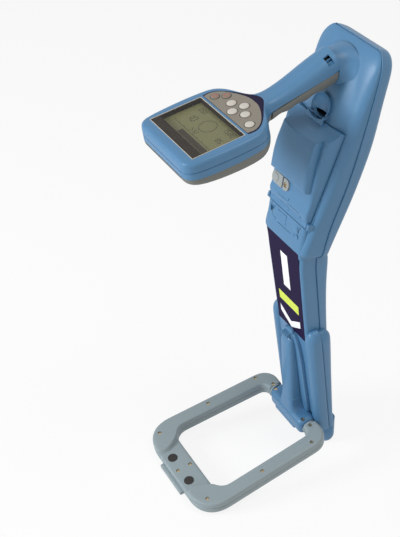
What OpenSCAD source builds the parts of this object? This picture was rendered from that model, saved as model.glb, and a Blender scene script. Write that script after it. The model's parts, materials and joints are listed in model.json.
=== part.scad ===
// Hand-held cable locator: a slim blade, an upper housing that leans back from it,
// a grip that carries the display head, and a loop foot hinged on the blade's lower front.
// Millimetres. Pieces are drawn with the blade upright, its user's side towards -Y and the
// bottom of the toe at z = 0, and are then set down as the locator stands: on the wear face
// of its toe and the lip of its loop, with that wear face at the origin.

/* [Blade] */
// Width of the blade at its lower end
blade_w_low = 66; // [60:1:72]
// Width of the blade at the bend
blade_w_top = 82; // [76:1:88]
// Front face of the blade, ahead of its mid plane
blade_front = 22; // [20:0.5:25]
// Rear face of the blade at the bend, behind its mid plane
blade_rear = 18; // [16:0.5:22]
// How much nearer the rear face lies at the toe
blade_taper = 8; // [5:0.5:8.5]
// Height of the bend where the housing begins to lean
bend_z = 398; // [370:1:430]
// Wall of the body shells
wall = 3; // [2.4:0.1:3.6]
// Open seam between the body shells
seam_gap = 0.5; // [0.4:0.1:0.8]

/* [Boot and toe] */
// Width across the boot's side bulges
boot_w = 94; // [88:1:98]
// Radius of the boot's upright bulges
boot_r = 11; // [9:0.5:12]
// Height of the boot's front shoulders
boot_top = 248; // [238:1:258]
// Height of the toe cap
toe_h = 48; // [44:1:52]
// Width of the toe cap
toe_w = 84; // [78:1:88]
// Radius of the toe's rounded end
toe_r = 14; // [12:0.5:16]
// Depth of the wear face across the toe's end
toe_flat = 0.6; // [0.4:0.1:1]

/* [Housing] */
// Lean of the housing behind the blade, in degrees
tilt = 26.5; // [22:0.5:30]
// Length of the housing above the bend
housing_l = 264; // [260:1:272]
// Width of the housing at the bend
housing_w_low = 94; // [90:1:98]
// Width of the housing at its shoulders
housing_w = 116; // [112:1:122]
// Front edges of the housing, ahead of its own mid plane
housing_front = 23; // [22:0.5:25]
// Rear of the housing at the bend, behind its own mid plane
housing_rear = 23; // [21:0.5:26]
// How much nearer the rear lies at the top
housing_taper = 13; // [10:0.5:14]
// Rise of the crowned front over the front edges
crown = 8; // [6:0.5:10]

/* [Battery door] */
// Width of the door at its hinge
door_w_low = 82; // [78:1:84]
// Width of the door at its upper edge
door_w_top = 92; // [88:1:94]
// Length of the door from its hinge axis to its upper edge
door_l = 128; // [126:1:132]
// Height of the hinge axis above the bend, along the housing
door_z = 33; // [31:1:36]
// Radius of the door's rounded lower edge about its hinge
door_r = 4.2; // [3.8:0.1:4.6]
// Front of the first tier at its upper end
tier1_front = 44; // [42:0.5:46]
// Front of the second tier
tier2_front = 50; // [49:0.5:53]
// Width of the second tier
tier2_w = 76; // [74:1:80]
// Diameter of a battery cell
cell_d = 33.2; // [32.4:0.1:34]
// Length of a battery cell
cell_l = 61.5; // [59:0.5:62]
// Length of the dust flap's plate
flap_l = 28; // [26:0.5:30]
// Width of the dust flap's plate
flap_w = 15; // [13:0.5:16]
// Bore of the accessory socket
socket_d = 3.6; // [3.5:0.1:4]

/* [Handle] */
// Height of the handle's collar above the bend, along the housing
collar_z = 232; // [226:1:236]
// Half width of the handle at the collar
handle_a = 19; // [17:0.5:20]
// Half height of the handle at the collar
handle_b = 22; // [20:0.5:23]
// Half width of the handle at the head
neck_a = 15.5; // [14:0.5:17]
// Half height of the handle at the head
neck_b = 13.5; // [13:0.5:15]
// Diameter of the spigot that ties the handle to the collar
spigot_d = 23; // [20:0.5:24]

/* [Head] */
// Width of the head
head_w = 120; // [116:1:126]
// Front of the head, ahead of the blade's mid plane
head_front = 168; // [164:1:175]
// Rise of the head's top face over the middle of the collar
head_rise = 1.2; // [-4:0.1:6]
// Thickness of the head
head_t = 37; // [35:1:41]
// Width of the display recess
lens_w = 98; // [94:1:100]
// Depth of the display recess from front to rear
lens_l = 67; // [64:1:68]
// Diameter of a white key
key_d = 12.6; // [11:0.2:13]
// Diameter of an outlined key
key_small_d = 10.6; // [9:0.2:11]
// Travel of a key
key_travel = 0.8; // [0.5:0.1:1.2]

/* [Foot] */
// Height of the loop's hinge axis
hinge_z = 68; // [64:1:76]
// Loop hinge axis, ahead of the blade's mid plane
hinge_y = 36; // [36:0.5:40]
// Radius of the hinge barrel
barrel_r = 12.5; // [11.5:0.5:13]
// Length of the hinge barrel
barrel_l = 84; // [78:1:88]
// Diameter of the hinge shaft
shaft_d = 14; // [12:0.5:15]
// Thickness of the loop
loop_t = 21; // [19:0.5:23]
// Clear width of the loop at the hinge
loop_in_near = 120; // [116:1:126]
// Clear width of the loop at its far bar
loop_in_far = 132; // [128:1:138]
// Width of the loop's arms
loop_arm = 22; // [20:0.5:24]
// Reach from the hinge axis to the far bar
loop_reach = 170; // [165:1:180]
// Width of the far bar
loop_bar = 37; // [35:0.5:40]
// Reach of the thumb lip beyond the far bar
lip = 6; // [4:0.5:8]
// Travel of the foot button
button_travel = 2.5; // [2:0.1:3]

/* [Fits] */
// Radial clearance of a running fit
run_fit = 0.06; // [0.03:0.01:0.1]
// Gap round pieces that move or drop in
gap = 0.4; // [0.3:0.05:0.6]
// Clearance of pieces that seat on one another
seat = 0.1; // [0.05:0.05:0.2]

/* [Hidden] */
$fn = 48;

blue = [0.40, 0.58, 0.76];
grey = [0.49, 0.49, 0.46];
pale = [0.58, 0.64, 0.66];
dark = [0.15, 0.15, 0.16];
purple = [0.20, 0.16, 0.29];
brass = [0.72, 0.60, 0.36];
steel = [0.70, 0.70, 0.72];
board_green = [0.12, 0.35, 0.20];
copper = [0.50, 0.28, 0.14];
white = [0.90, 0.90, 0.88];

// Reach of cutting slabs past everything they cut.
beyond = 1000;

// How the locator stands: the floor touches the toe's wear face and the loop's lip.
far_y = hinge_y + loop_reach + loop_bar;
loop_low = hinge_z - loop_t / 2;
toe_y = -1;
toe_rho = toe_r - toe_flat;
lip_dy = far_y + lip + toe_y;
lip_dz = loop_low - toe_r;
lean = atan2(lip_dz, lip_dy) + asin(toe_rho / norm([lip_dy, lip_dz]));
foot_y = toe_y - toe_rho * sin(lean);
foot_z = toe_r - toe_rho * cos(lean);
module stand() rotate([lean, 0, 0]) translate([0, -foot_y, -foot_z]) children();
module in_housing() translate([0, 0, bend_z]) rotate([-tilt, 0, 0]) children();
module in_stand_housing() stand() in_housing() children();

// A point of the housing's own side view, (depth, length), in the blade's side view.
function hpt(y, z) = [y * cos(tilt) + z * sin(tilt), -y * sin(tilt) + z * cos(tilt) + bend_z];

// Convex column through cross-sections
// [height, half width, front, rear, front corner radius, rear corner radius].
module column(levels) hull()
    for (l = levels, s = [-1, 1]) {
        translate([s * (l[1] - l[4]), l[4] - l[2], l[0]]) cylinder(r = l[4], h = 0.02, $fn = 32);
        translate([s * (l[1] - l[5]), l[3] - l[5], l[0]]) cylinder(r = l[5], h = 0.02, $fn = 32);
    }

// Slab seen from the side: points (y, z) drawn across the whole width w.
module side_slab(points, w) rotate([90, 0, 90]) translate([0, 0, -w / 2])
    linear_extrude(w) polygon(points);
module rod_x(r, l) rotate([0, 90, 0]) cylinder(r = r, h = l, center = true);
module rod_y(r, y0, y1) translate([0, y0, 0]) rotate([-90, 0, 0]) cylinder(r = r, h = y1 - y0);
module box(x, y0, y1, z0, z1) translate([-x, y0, z0]) cube([2 * x, y1 - y0, z1 - z0]);

// Body form, inset by i for the hollow and the seal.
function rear_y(z) = blade_rear - blade_taper * (bend_z - z) / (bend_z - toe_h);
function housing_rear_y(z) = housing_rear - housing_taper * z / housing_l;
door_top = door_z + door_l;
shoulder_z = housing_l - 22;
top_rear = housing_rear - housing_taper;
module blade_form(i, down = 0) column([
    [toe_h - down, blade_w_low / 2 - i, blade_front - i, rear_y(toe_h) - i, 6 - i / 2, 9 - i],
    [bend_z + 1 - i, blade_w_top / 2 - i, blade_front - i, blade_rear - i, 6 - i / 2, 9 - i]]);
module housing_form(i) in_housing() column([
    [-12 + i, housing_w_low / 2 - 4 - i, housing_front - 4 - i, housing_rear - 4 - i, 8 - i, 12 - i],
    [-4 + i / 2, housing_w_low / 2 - i, housing_front - 2 - i, housing_rear - i, 8 - i, 14 - i],
    [door_top, housing_w / 2 - 1 - i, housing_front - i, housing_rear_y(door_top) - i, 9 - i, 18 - i],
    [shoulder_z, housing_w / 2 - i, housing_front - i, housing_rear_y(shoulder_z) - i, 9 - i, 18 - i],
    [housing_l - 9 - i / 2, housing_w / 2 - 4 - i, housing_front - i, top_rear - 4 - i, 9 - i, 14 - i],
    [housing_l - i, housing_w / 2 - 12 - i, housing_front - 2 - i, top_rear - 14 - i, 8 - i, 7 - i],
    [door_z - 12, housing_w_low / 2 - 16 - i, housing_front + crown - 3 - i, 0, 12 - i, 6],
    [door_top + 2, housing_w / 2 - 22 - i, housing_front + crown - i, 0, 14 - i, 6]]);

// Upright bulges of the boot, domed on top; the rear pair leans with the blade's rear face.
boot_rear_top = boot_top - 10 - boot_r;
boot_lean = -atan2(blade_taper + 1, boot_top - toe_h);
module boot_form() for (s = [-1, 1]) translate([s * (boot_w / 2 - boot_r), 0, 0]) {
    translate([0, boot_r - blade_front, toe_h]) cylinder(r = boot_r, h = boot_top - boot_r - toe_h);
    translate([0, boot_r - blade_front, boot_top - boot_r]) sphere(boot_r);
    translate([0, blade_rear - boot_r, boot_rear_top]) {
        sphere(boot_r);
        rotate([boot_lean, 0, 0]) translate([0, 0, toe_h - boot_rear_top])
            cylinder(r = boot_r, h = boot_rear_top - toe_h);
    }
    box(boot_r, boot_r - blade_front, rear_y(toe_h) - boot_r, toe_h, boot_rear_top);
}

// Parting line of the body: the blade's mid plane, then up the housing and forward at its top.
part_pts = concat([[0, -beyond], [0, bend_z - 12]],
    [for (p = [[4, 16], [4, housing_l - 124], [1, housing_l - 84], [-8, housing_l - 37],
        [-18, housing_l - 10], [-34, housing_l + 30]]) hpt(p[0], p[1])]);
module front_room(d) translate([0, d, 0])
    side_slab(concat([[-beyond, -beyond]], part_pts, [[-beyond, bend_z + beyond]]), beyond);
module rear_room(d) translate([0, d, 0])
    side_slab(concat(part_pts, [[beyond, bend_z + beyond], [beyond, -beyond]]), beyond);
module body_hollow() {
    blade_form(wall, 2);
    housing_form(wall);
}

// Screws that hold the shells together, from the rear: on the blade (x, z) and the housing (x, z).
blade_screws = [[24, toe_h + 44], [26, boot_top - 40], [28, bend_z - 98]];
housing_screws = [[housing_w / 2 - 21, door_top + 0.233 * (housing_l - door_top)],
    [housing_w / 2 - 23, housing_l - 28]];
screw_r = 1.5;
head_r = 3.2;
head_h = 2.4;
sink = 5;
boss_r = head_r + 1.4;
post_y = 3.5 - housing_front;
module on_blade_screws() for (p = blade_screws, s = [-1, 1]) translate([s * p[0], 0, p[1]]) children();
module on_housing_screws() in_housing() for (p = housing_screws, s = [-1, 1])
    translate([s * p[0], 0, p[1]]) children();

// Inner parts of the blade.
ant_r = 9;
ant_low_z = 150;
ant_up_z = bend_z - 58;
chassis_y = 2;
chassis_t = 4;
rod_y0 = chassis_y - seat - ant_r;
pad_z = [toe_h + 62, boot_top - 8, bend_z - 40];
pad_h = 8;
chassis_w = 40;
board_w = 36;
board_t = 1.6;
board_clear = 12;

// Battery bay and door, in the housing's own frame.
hinge_hy = -24;
lug_l = 4.6;
door_back = -21;
bay_floor = -6;
bay_wall = 2.4;
tier1_z = door_top - 11;
panel_tilt = atan2(tier1_front - door_r + hinge_hy, tier1_z - door_z);
cell_hy = -tier2_front + 5.4 + cell_d / 2;
cell_z0 = door_top - 20 - cell_l - 1;
module door_outline(d) polygon([[-door_w_low / 2 - d, door_z], [door_w_low / 2 + d, door_z],
    [door_w_top / 2 + d, door_top + d], [-door_w_top / 2 - d, door_top + d]]);
// Upright prism of the door's outline between two depths.
module door_prism(d, y0, y1) translate([0, y1, 0]) rotate([90, 0, 0]) linear_extrude(y1 - y0) door_outline(d);
module at_door_hinge() translate([0, hinge_hy, door_z]) children();
module in_panel() in_housing() at_door_hinge() rotate([panel_tilt, 0, 0])
    translate([0, -door_r, 0]) children();
cell_x = cell_d / 2 + 0.6;
contact_t = 0.6;
pin_r = 1.3;
pin_l = door_w_low + 8;
catch_w = 24;
catch_z0 = door_top - 7;
catch_z1 = door_top + 10;
catch_y0 = -40;
catch_y1 = -35;

// Dust flap, on the door's lower panel.
flap_x = -21;
flap_z = 32;
flap_t = 3;
crease_x = flap_x + flap_l / 2 - 9;
boss_x = flap_x - flap_l / 2 + flap_w / 2;
flap_screw_x = flap_x + flap_l / 2 - 5;

// Handle: centre points (y, z) from the collar to the head.
collar_face = hpt(-housing_front, collar_z);
collar_r0 = 28.5;
head_top = collar_face[1] + head_rise;
grip0 = [collar_face[0] - 17, collar_face[1] + 3];
grip2 = [-36, head_top - 15];
grip1 = [(grip0[0] + grip2[0]) / 2, (grip0[1] + grip2[1]) / 2 - 1];
grip_tilt = atan2(grip0[1] - grip1[1], grip0[0] - grip1[0]);
split_up = 1.5;
spigot_in = 24;
spigot_out = 26;
spigot_wall = 3;
finger_r = 20;
finger_pitch = 24;
finger_start = 30;
finger_bite = 37;
function finger_d(k) = finger_start + finger_pitch * k;
function finger_z(k) = grip0[1] - finger_d(k) * tan(grip_tilt) - finger_bite + 2.2 * k;
// Height of the split between the handle's upper and lower halves, at depth y.
function split_z(y) = (y > grip2[0] ? grip0[1] : grip2[1] + (grip0[0] - grip2[0]) * tan(grip_tilt))
    + (y - grip0[0]) * tan(grip_tilt) + split_up;
module slice(p, a, b) translate([0, p[0], p[1]]) rotate([90, 0, 0]) scale([a, b, 1])
    cylinder(r = 1, h = 0.02, $fn = 32);
module handle_form(i, back) {
    hull() {
        slice([grip0[0] - back, grip0[1] - back * tan(grip_tilt)], handle_a - i, handle_b - i);
        slice(grip1, (handle_a + neck_a) / 2 - 0.5 - i, (handle_b + neck_b) / 2 - 1.5 - i);
    }
    hull() {
        slice(grip1, (handle_a + neck_a) / 2 - 0.5 - i, (handle_b + neck_b) / 2 - 1.5 - i);
        slice(grip2, neck_a - i, neck_b - i);
    }
}
module on_grip_axis() translate([0, grip0[0], grip0[1]]) rotate([grip_tilt, 0, 0]) children();

// Head form, inset by i: round corners at the front, the rear and the neck, its underside set back.
head_low = head_top - head_t;
corner_r = 16;
rear_r = 24;
neck_y = -44;
module head_form(i) hull()
    for (l = [[head_low + i, 11, 7], [head_low + 12, 1.6, 3.5], [head_top - 18, 0, 0],
        [head_top - 5, 0.3, 0], [head_top - i, 4.5, 0]], s = [-1, 1]) {
        translate([s * (head_w / 2 - corner_r), corner_r - head_front + l[2], l[0]])
            cylinder(r = max(2, corner_r - l[1] - i), h = 0.02, $fn = 32);
        translate([s * (head_w / 2 - rear_r), neck_y - rear_r, l[0]])
            cylinder(r = rear_r - l[1] - i, h = 0.02, $fn = 32);
        translate([0, neck_y, l[0]]) cylinder(r = 17 - l[1] / 2 - i, h = 0.02, $fn = 32);
    }
head_mid_y = (-head_front + neck_y) / 2;
function head_part(y) = head_low + 6 + 7 * pow((y - head_mid_y) / 60, 2);
head_y0 = -head_front - 6;
head_y1 = -20;
head_cut_y = -29;
head_curve = [for (k = [0:24]) let (y = head_y0 + k * (head_y1 - head_y0) / 24) [y, head_part(y)]];
// Everything under the head's parting curve, and everything over it.
module head_under() side_slab(concat([[head_y0, 0]], head_curve, [[head_y1, 0]]), beyond);
module head_over(d) translate([0, 0, d])
    side_slab(concat([[head_y0, 2 * head_top]], head_curve, [[head_y1, 2 * head_top]]), beyond);
sounder_r = 14;
sounder_h = 6;

// Display and keypad, on the head's top face.
lens_y0 = 20 - head_front;
lens_y1 = lens_y0 + lens_l;
bezel_wall = 1.4;
lens_strip = 9;
lens_frame = 5;
bezel_floor = head_top - 6.4;
window_t = 2;
board_z = head_top - 13;
key_row = 20.5;
keys_y = lens_y1 + key_row;
key_dx = 15;
key_dy = 8;
key_pts = [[-38, keys_y - 7.5], [-30, keys_y + 3.5], [1.5 - key_dx, keys_y], [1.5, keys_y + key_dy],
    [1.5, keys_y - key_dy], [1.5 + key_dx, keys_y], [36, keys_y - 6.5]];
key_ds = [key_small_d, key_small_d, key_d, key_d, key_d, key_d, key_d];
key_low = 4;
key_proud = 1.2;
pad_x = lens_w / 2 - 1;
module keypad_outline(d) offset(r = d, $fn = 32) polygon([[-pad_x, lens_y1 + 3.5], [pad_x, lens_y1 + 3.5],
    [pad_x - 4, keys_y + 3], [pad_x - 25, keys_y + 16], [6, keys_y + 27], [-6, keys_y + 27],
    [25 - pad_x, keys_y + 16], [4 - pad_x, keys_y + 3]]);
module panel_outline() offset(r = 2, $fn = 32) polygon([[4 - pad_x, lens_y1 + 6.5],
    [pad_x - 4, lens_y1 + 6.5], [pad_x - 7, keys_y + 0.5], [pad_x - 20, keys_y + 10],
    [9, keys_y + 16.5], [-9, keys_y + 16.5], [20 - pad_x, keys_y + 10], [7 - pad_x, keys_y + 0.5]]);
surround_t = 0.8;
panel_t = 0.5;
module key_holes(d, z0, z1) for (k = [0:6]) translate([key_pts[k][0], key_pts[k][1], z0])
    cylinder(d = key_ds[k] + 2 * d, h = z1 - z0);
board_posts = [[head_w / 2 - 25, 26 - head_front], [head_w / 2 - 33, neck_y - 18]];
head_screw_pts = [[head_w / 2 - 13, 22 - head_front], [head_w / 2 - 15, neck_y - 26]];
module on_board_posts() for (p = board_posts, s = [-1, 1]) translate([s * p[0], p[1], 0]) children();
module on_head_screws() for (p = head_screw_pts, s = [-1, 1]) translate([s * p[0], p[1], 0]) children();

// Foot: bracket, button and loop.
plate_w = 54;
plate_t = 5.5;
plate_top = hinge_z + loop_reach - 3;
plate_back = -blade_front - seat;
button_w = 18;
button_h = 16;
button_z = plate_top - 14;
button_front = -blade_front - 17;
pocket_y = plate_back - 2;
bracket_screw_pts = [[21, hinge_z + 34], [21, plate_top - 28]];
collar_l = 7.6;
collar_r = loop_t / 2 + 0.8;
stub_x = barrel_l / 2 + gap + collar_l;
shaft_l = 2 * stub_x + 26;
module at_hinge() translate([0, -hinge_y, hinge_z]) children();
near_out = loop_in_near / 2 + loop_arm;
far_out = loop_in_far / 2 + loop_arm;
// Loop outlines seen from above the hinge axis; d moves the edge outwards.
module loop_outer(d) hull() for (s = [-1, 1]) {
    translate([s * (near_out - 24), loop_t / 2 - 24]) circle(24 + d, $fn = 32);
    translate([s * (far_out - 40), 40 - loop_reach - loop_bar]) circle(40 + d, $fn = 32);
}
module loop_inner(d) hull() for (s = [-1, 1]) {
    translate([s * (loop_in_near / 2 - 10), -loop_t / 2 - 10]) circle(10 + d, $fn = 32);
    translate([s * (loop_in_far / 2 - 20), 20 - loop_reach]) circle(20 + d, $fn = 32);
}
module loop_plan(d) difference() {
    loop_outer(d);
    loop_inner(-d);
    translate([-stub_x, -loop_t / 2 - 3]) square([2 * stub_x, loop_t + beyond]);
}
saddle_x = 46;
saddle_d = 7;
saddle_top = loop_t / 2 - saddle_d;
bar_y = -loop_reach - loop_bar / 2;
loop_pts = [for (s = [-1, 1]) each [[s * (loop_in_near / 2 + loop_arm / 2 + 1.5), -18, loop_t / 2],
    [s * ((loop_in_near + loop_in_far) / 4 + loop_arm / 2), -loop_reach * 0.6, loop_t / 2],
    [s * (loop_in_far / 2 + 4), bar_y, loop_t / 2]]];
bar_pts = [[0, bar_y + 10, saddle_top], [0, bar_y - 9.5, saddle_top]];
stub_pts = [for (s = [-1, 1]) [s * (stub_x + 5.5), 0, loop_t / 2]];
screw_pts = concat(loop_pts, bar_pts);
loop_head_r = 2.5;
loop_head_h = 1.6;
loop_sink = 1.8;
buffer_r = 7;
buffer_x = 24.2;
buffer_y = bar_y - 5;
coil_out = 3;
coil_w = 3.6;

// Label, from the bracket's top to the bend, narrowing with the blade.
label_t = 0.5;
label_z0 = plate_top - 3;
label_z1 = bend_z - 1;
label_edge = 5;
function label_x(z) = blade_w_low / 2 - label_edge
    + (blade_w_top - blade_w_low) / 2 * (z - toe_h) / (bend_z - toe_h);
module label_shape(d) offset(delta = d) polygon([[-label_x(label_z0), label_z0],
    [label_x(label_z0), label_z0], [label_x(label_z1), label_z1], [-label_x(label_z1), label_z1]]);

module front_shell() color(blue) stand() difference() {
    union() {
        intersection() {
            difference() {
                union() {
                    blade_form(0);
                    housing_form(0);
                    boot_form();
                }
                body_hollow();
            }
            front_room(-seam_gap / 2);
        }
        // Collar that carries the handle
        hull() {
            in_housing() translate([0, -housing_front, collar_z]) rod_y(collar_r0, -0.2, 0.6);
            slice([grip0[0] + seam_gap, grip0[1]], handle_a, handle_b);
        }
        // Battery bay
        in_housing() {
            door_prism(gap * 2 + bay_wall, 1 - housing_front, bay_floor + bay_wall);
            at_door_hinge() rod_x(door_r + gap + bay_wall, door_w_low + 4 * gap + 2 * bay_wall);
        }
        on_blade_screws() rod_y(head_r + 1, 1 - blade_front, -seam_gap / 2);
        intersection() {
            on_housing_screws() rod_y(head_r + 1, -60, post_y);
            housing_form(0.5);
        }
        // Lugs of the door's hinge
        in_housing() at_door_hinge() for (s = [-1, 1])
            translate([s * (door_w_low / 2 + 2 * gap + lug_l / 2), 0, 0]) {
                rod_x(door_r - 0.2, lug_l);
                box(lug_l / 2, 0, 9, 0.2 - door_r, door_r - 0.2);
            }
    }
    // Door opening, hinge relief and the holes of its pin
    in_housing() {
        door_prism(gap * 2, -beyond, bay_floor);
        at_door_hinge() rod_x(door_r + gap, door_w_low + 4 * gap);
        box(door_w_low / 2 + 2 * gap, -beyond, hinge_hy, door_z - door_r - gap, door_z + 1);
        at_door_hinge() rod_x(pin_r + run_fit, pin_l + 1);
        translate([0, -44, door_top + 16]) sphere(20);
    }
    // Spigot bore through the collar
    on_grip_axis() rod_y(spigot_d / 2 + seat, -4, spigot_out + 8);
    // Label recess
    translate([0, label_t - blade_front, 0]) rotate([90, 0, 0]) linear_extrude(4 * label_t) label_shape(0.2);
    on_blade_screws() rod_y(screw_r - 0.2, 6 - blade_front, 5);
    on_housing_screws() rod_y(screw_r - 0.2, -1.5 - housing_front, 5);
    for (p = bracket_screw_pts, s = [-1, 1]) translate([s * p[0], 0, p[1]])
        rod_y(screw_r + run_fit, -blade_front - 8, 8 - blade_front);
}

module rear_shell() color(blue) stand() difference() {
    union() {
        intersection() {
            difference() {
                union() {
                    blade_form(0);
                    housing_form(0);
                    boot_form();
                }
                body_hollow();
            }
            rear_room(seam_gap / 2);
        }
        // Pads that carry the chassis, and the screw pillars
        for (z = pad_z) box(10, chassis_y + chassis_t + seat, rear_y(z) - wall + 0.5, z, z + pad_h);
        for (p = blade_screws, s = [-1, 1]) translate([s * p[0], 0, p[1]])
            rod_y(boss_r, seam_gap / 2, rear_y(p[1]) - 1.5);
        in_housing() for (p = housing_screws, s = [-1, 1]) translate([s * p[0], 0, p[1]])
            rod_y(boss_r, post_y + seam_gap, housing_rear_y(p[1]) - 1.5);
    }
    for (p = blade_screws, s = [-1, 1]) translate([s * p[0], 0, p[1]]) {
        rod_y(screw_r + 0.3, -5, beyond);
        rod_y(head_r + 0.2, rear_y(p[1]) - sink, beyond);
    }
    in_housing() for (p = housing_screws, s = [-1, 1]) translate([s * p[0], 0, p[1]]) {
        rod_y(screw_r + 0.3, -2 * housing_front, beyond);
        rod_y(head_r + 0.2, housing_rear_y(p[1]) - sink, beyond);
    }
}

module shell_seal() color(dark) stand() intersection() {
    difference() {
        union() { blade_form(1); housing_form(1); }
        union() { blade_form(2, 2); housing_form(2); }
    }
    rear_room(-seam_gap / 2 + 0.05);
    front_room(seam_gap / 2 - 0.05);
}

module shell_screws() color(brass) stand() {
    for (p = blade_screws, s = [-1, 1]) translate([s * p[0], 0, p[1]]) {
        rod_y(head_r, rear_y(p[1]) - sink + seat, rear_y(p[1]) - sink + head_h);
        rod_y(screw_r - 0.3, 8 - blade_front, rear_y(p[1]) - sink + 1);
    }
    in_housing() for (p = housing_screws, s = [-1, 1]) translate([s * p[0], 0, p[1]]) {
        rod_y(head_r, housing_rear_y(p[1]) - sink + seat, housing_rear_y(p[1]) - sink + head_h);
        rod_y(screw_r - 0.3, -1 - housing_front, housing_rear_y(p[1]) - sink + 1);
    }
}

module toe_cap() color(blue) difference() {
    stand() {
        hull() {
            column([[toe_h - 0.3 - seat, blade_w_low / 2 + 7, blade_front - 3, blade_rear - 3, 8, 8]]);
            for (s = [-1, 1]) translate([s * (toe_w / 2 - toe_r), toe_y, toe_r]) sphere(toe_r);
        }
        box(blade_w_low / 2 - wall - 10, wall + gap - blade_front, rear_y(toe_h) - wall - gap,
            toe_h - 1, toe_h + 12);
    }
    translate([-beyond / 2, -beyond / 2, -beyond]) cube(beyond);
}

module label_plate() color(purple) stand() translate([0, label_t - seat - blade_front, 0])
    rotate([90, 0, 0]) linear_extrude(label_t - seat) label_shape(0);

module chassis() color(dark) stand() difference() {
    box(chassis_w / 2, chassis_y, chassis_y + chassis_t, toe_h + 16, bend_z - 24);
    on_blade_screws() rod_y(boss_r + 0.6, -blade_front, blade_rear);
}

module main_board() color(board_green) stand()
    box(board_w / 2, chassis_y - seat - board_t, chassis_y - seat,
        ant_low_z + ant_r + board_clear, ant_up_z - ant_r - board_clear);

module antenna(l) {
    rod_x(ant_r - 3, l);
    rod_x(ant_r, l - 12);
}
module antenna_lower() color(copper) stand() translate([0, rod_y0, ant_low_z])
    antenna(blade_w_low - 2 * wall - 2);
module antenna_upper() color(copper) stand() translate([0, rod_y0, ant_up_z])
    antenna(blade_w_low - 2 * wall - 2);

module battery_door() color(blue) in_stand_housing() difference() {
    union() {
        hull() {
            door_prism(0, door_back - 1, door_back);
            at_door_hinge() rod_x(door_r, door_w_low);
            for (s = [-1, 1]) translate([s * (door_w_top / 2 - 6), 6 - tier1_front, tier1_z])
                sphere(6, $fn = 32);
        }
        hull() for (s = [-1, 1]) {
            translate([s * (tier2_w / 2 - 5), 5 - tier2_front, tier1_z - 5]) sphere(4, $fn = 32);
            translate([s * (tier2_w / 2 - 6.5), 6 - tier2_front, cell_z0 + 2]) sphere(4, $fn = 32);
            translate([s * (tier2_w / 2 - 3), door_back - 4, tier1_z - 4]) sphere(2, $fn = 16);
            translate([s * (tier2_w / 2 - 4), door_back - 4, cell_z0 - 3]) sphere(2, $fn = 16);
        }
    }
    box(door_w_top, door_back, 20, door_z + door_r + 1, door_top + 20);
    // Finger hollow above the second tier
    translate([0, -tier2_front - 28, door_top + 9]) sphere(45);
    // Room for the cells
    box(cell_d + 2, cell_hy, 0, cell_z0 - 3, cell_z0 + cell_l + 2.4);
    for (s = [-1, 1]) translate([s * cell_x, cell_hy, cell_z0 - 3])
        cylinder(r = cell_d / 2 + 1, h = cell_l + 5.4);
    // Hollow of the lower panel, between the socket and the hinge
    box(door_w_low / 2 - 6, door_back - 7, 0, door_z + 14, door_z + 24);
    // Hinge, catch slot, socket hole and the hole of the flap's screw
    at_door_hinge() rod_x(pin_r + run_fit, door_w_low + 2);
    box(catch_w / 2 + gap, catch_y0 - 10, catch_y1 + gap, catch_z0 - 6, door_top + 20);
    at_door_hinge() rotate([panel_tilt, 0, 0]) translate([0, -door_r, flap_z]) {
        translate([boss_x, 0, 0]) rod_y(socket_d / 2 + 3 + seat / 2, -6, 30);
        translate([flap_screw_x, 0, 0]) rod_y(1.2, -6, 5);
    }
}

module door_pin() color(steel) in_stand_housing() at_door_hinge() rod_x(pin_r, pin_l);

module door_catch() color(blue) in_stand_housing() difference() {
    box(catch_w / 2, catch_y0, catch_y1, catch_z0, catch_z1);
    translate([0, catch_y0 - 11.5, catch_z1 - 8]) rod_x(14, catch_w + 2);
}

module catch_spring() color(steel) in_stand_housing()
    box(6, catch_y0 + 1, catch_y1 - 1, catch_z0 - 6 + seat, catch_z0 - 5.2);

module battery_tray() color(dark) in_stand_housing() difference() {
    box(cell_d + 4, door_back + gap, bay_floor - seat, cell_z0 - 8, cell_z0 + cell_l + 8);
    for (s = [-1, 1]) translate([s * cell_x, cell_hy, cell_z0 - 2])
        cylinder(d = cell_d + 0.6, h = cell_l + 4);
}

module battery_cells() color([0.75, 0.75, 0.72]) in_stand_housing() for (s = [-1, 1])
    translate([s * cell_x, cell_hy, cell_z0]) {
        cylinder(d = cell_d, h = cell_l - 1.5);
        cylinder(d = 9, h = cell_l);
    }

module battery_contacts() color(brass) in_stand_housing()
    for (s = [-1, 1], z = [cell_z0 - 2 + seat, cell_z0 + cell_l + 2 - seat - contact_t])
        translate([s * cell_x - 5, door_back + gap + 0.4, z]) cube([10, 8, contact_t]);

module accessory_socket() color(dark) stand() in_panel() translate([boss_x, 0, flap_z]) difference() {
    rod_y(socket_d / 2 + 3, 0.3, 9);
    rod_y(socket_d / 2, -1, 7);
}

// Rounded plate of the dust flap and its base, with the crease between them.
module flap_plate() rotate([90, 0, 0]) linear_extrude(flap_t)
    offset(r = flap_w / 2 - 0.01, $fn = 48) translate([flap_x, 0])
        square([flap_l - flap_w, 0.02], center = true);
module flap_base() color(pale) stand() in_panel() translate([0, 0, flap_z]) difference() {
    translate([0, -seat, 0]) flap_plate();
    translate([crease_x + 0.3 - beyond, -beyond / 2, -beyond / 2]) cube(beyond);
    translate([flap_screw_x, 0, 0]) {
        rod_y(1.5, -10, 10);
        rod_y(2.7, -10, -flap_t + 1.4);
    }
}
module dust_flap() color(pale) stand() in_panel() translate([0, 0, flap_z]) {
    difference() {
        translate([0, -seat - 0.2, 0]) flap_plate();
        translate([crease_x, -beyond / 2, -beyond / 2]) cube(beyond);
    }
    translate([boss_x, 0, 0]) {
        rod_y(4.6, -flap_t - 1.2, -flap_t + 0.2);
        rod_y(socket_d / 2 - 0.9, -1, 0.7);
    }
}
module flap_screw() color(brass) stand() in_panel() translate([flap_screw_x, 0, flap_z]) {
    rod_y(2.5, -flap_t, -flap_t + 1.4 - seat);
    rod_y(1.1, -flap_t, 4);
}

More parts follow.
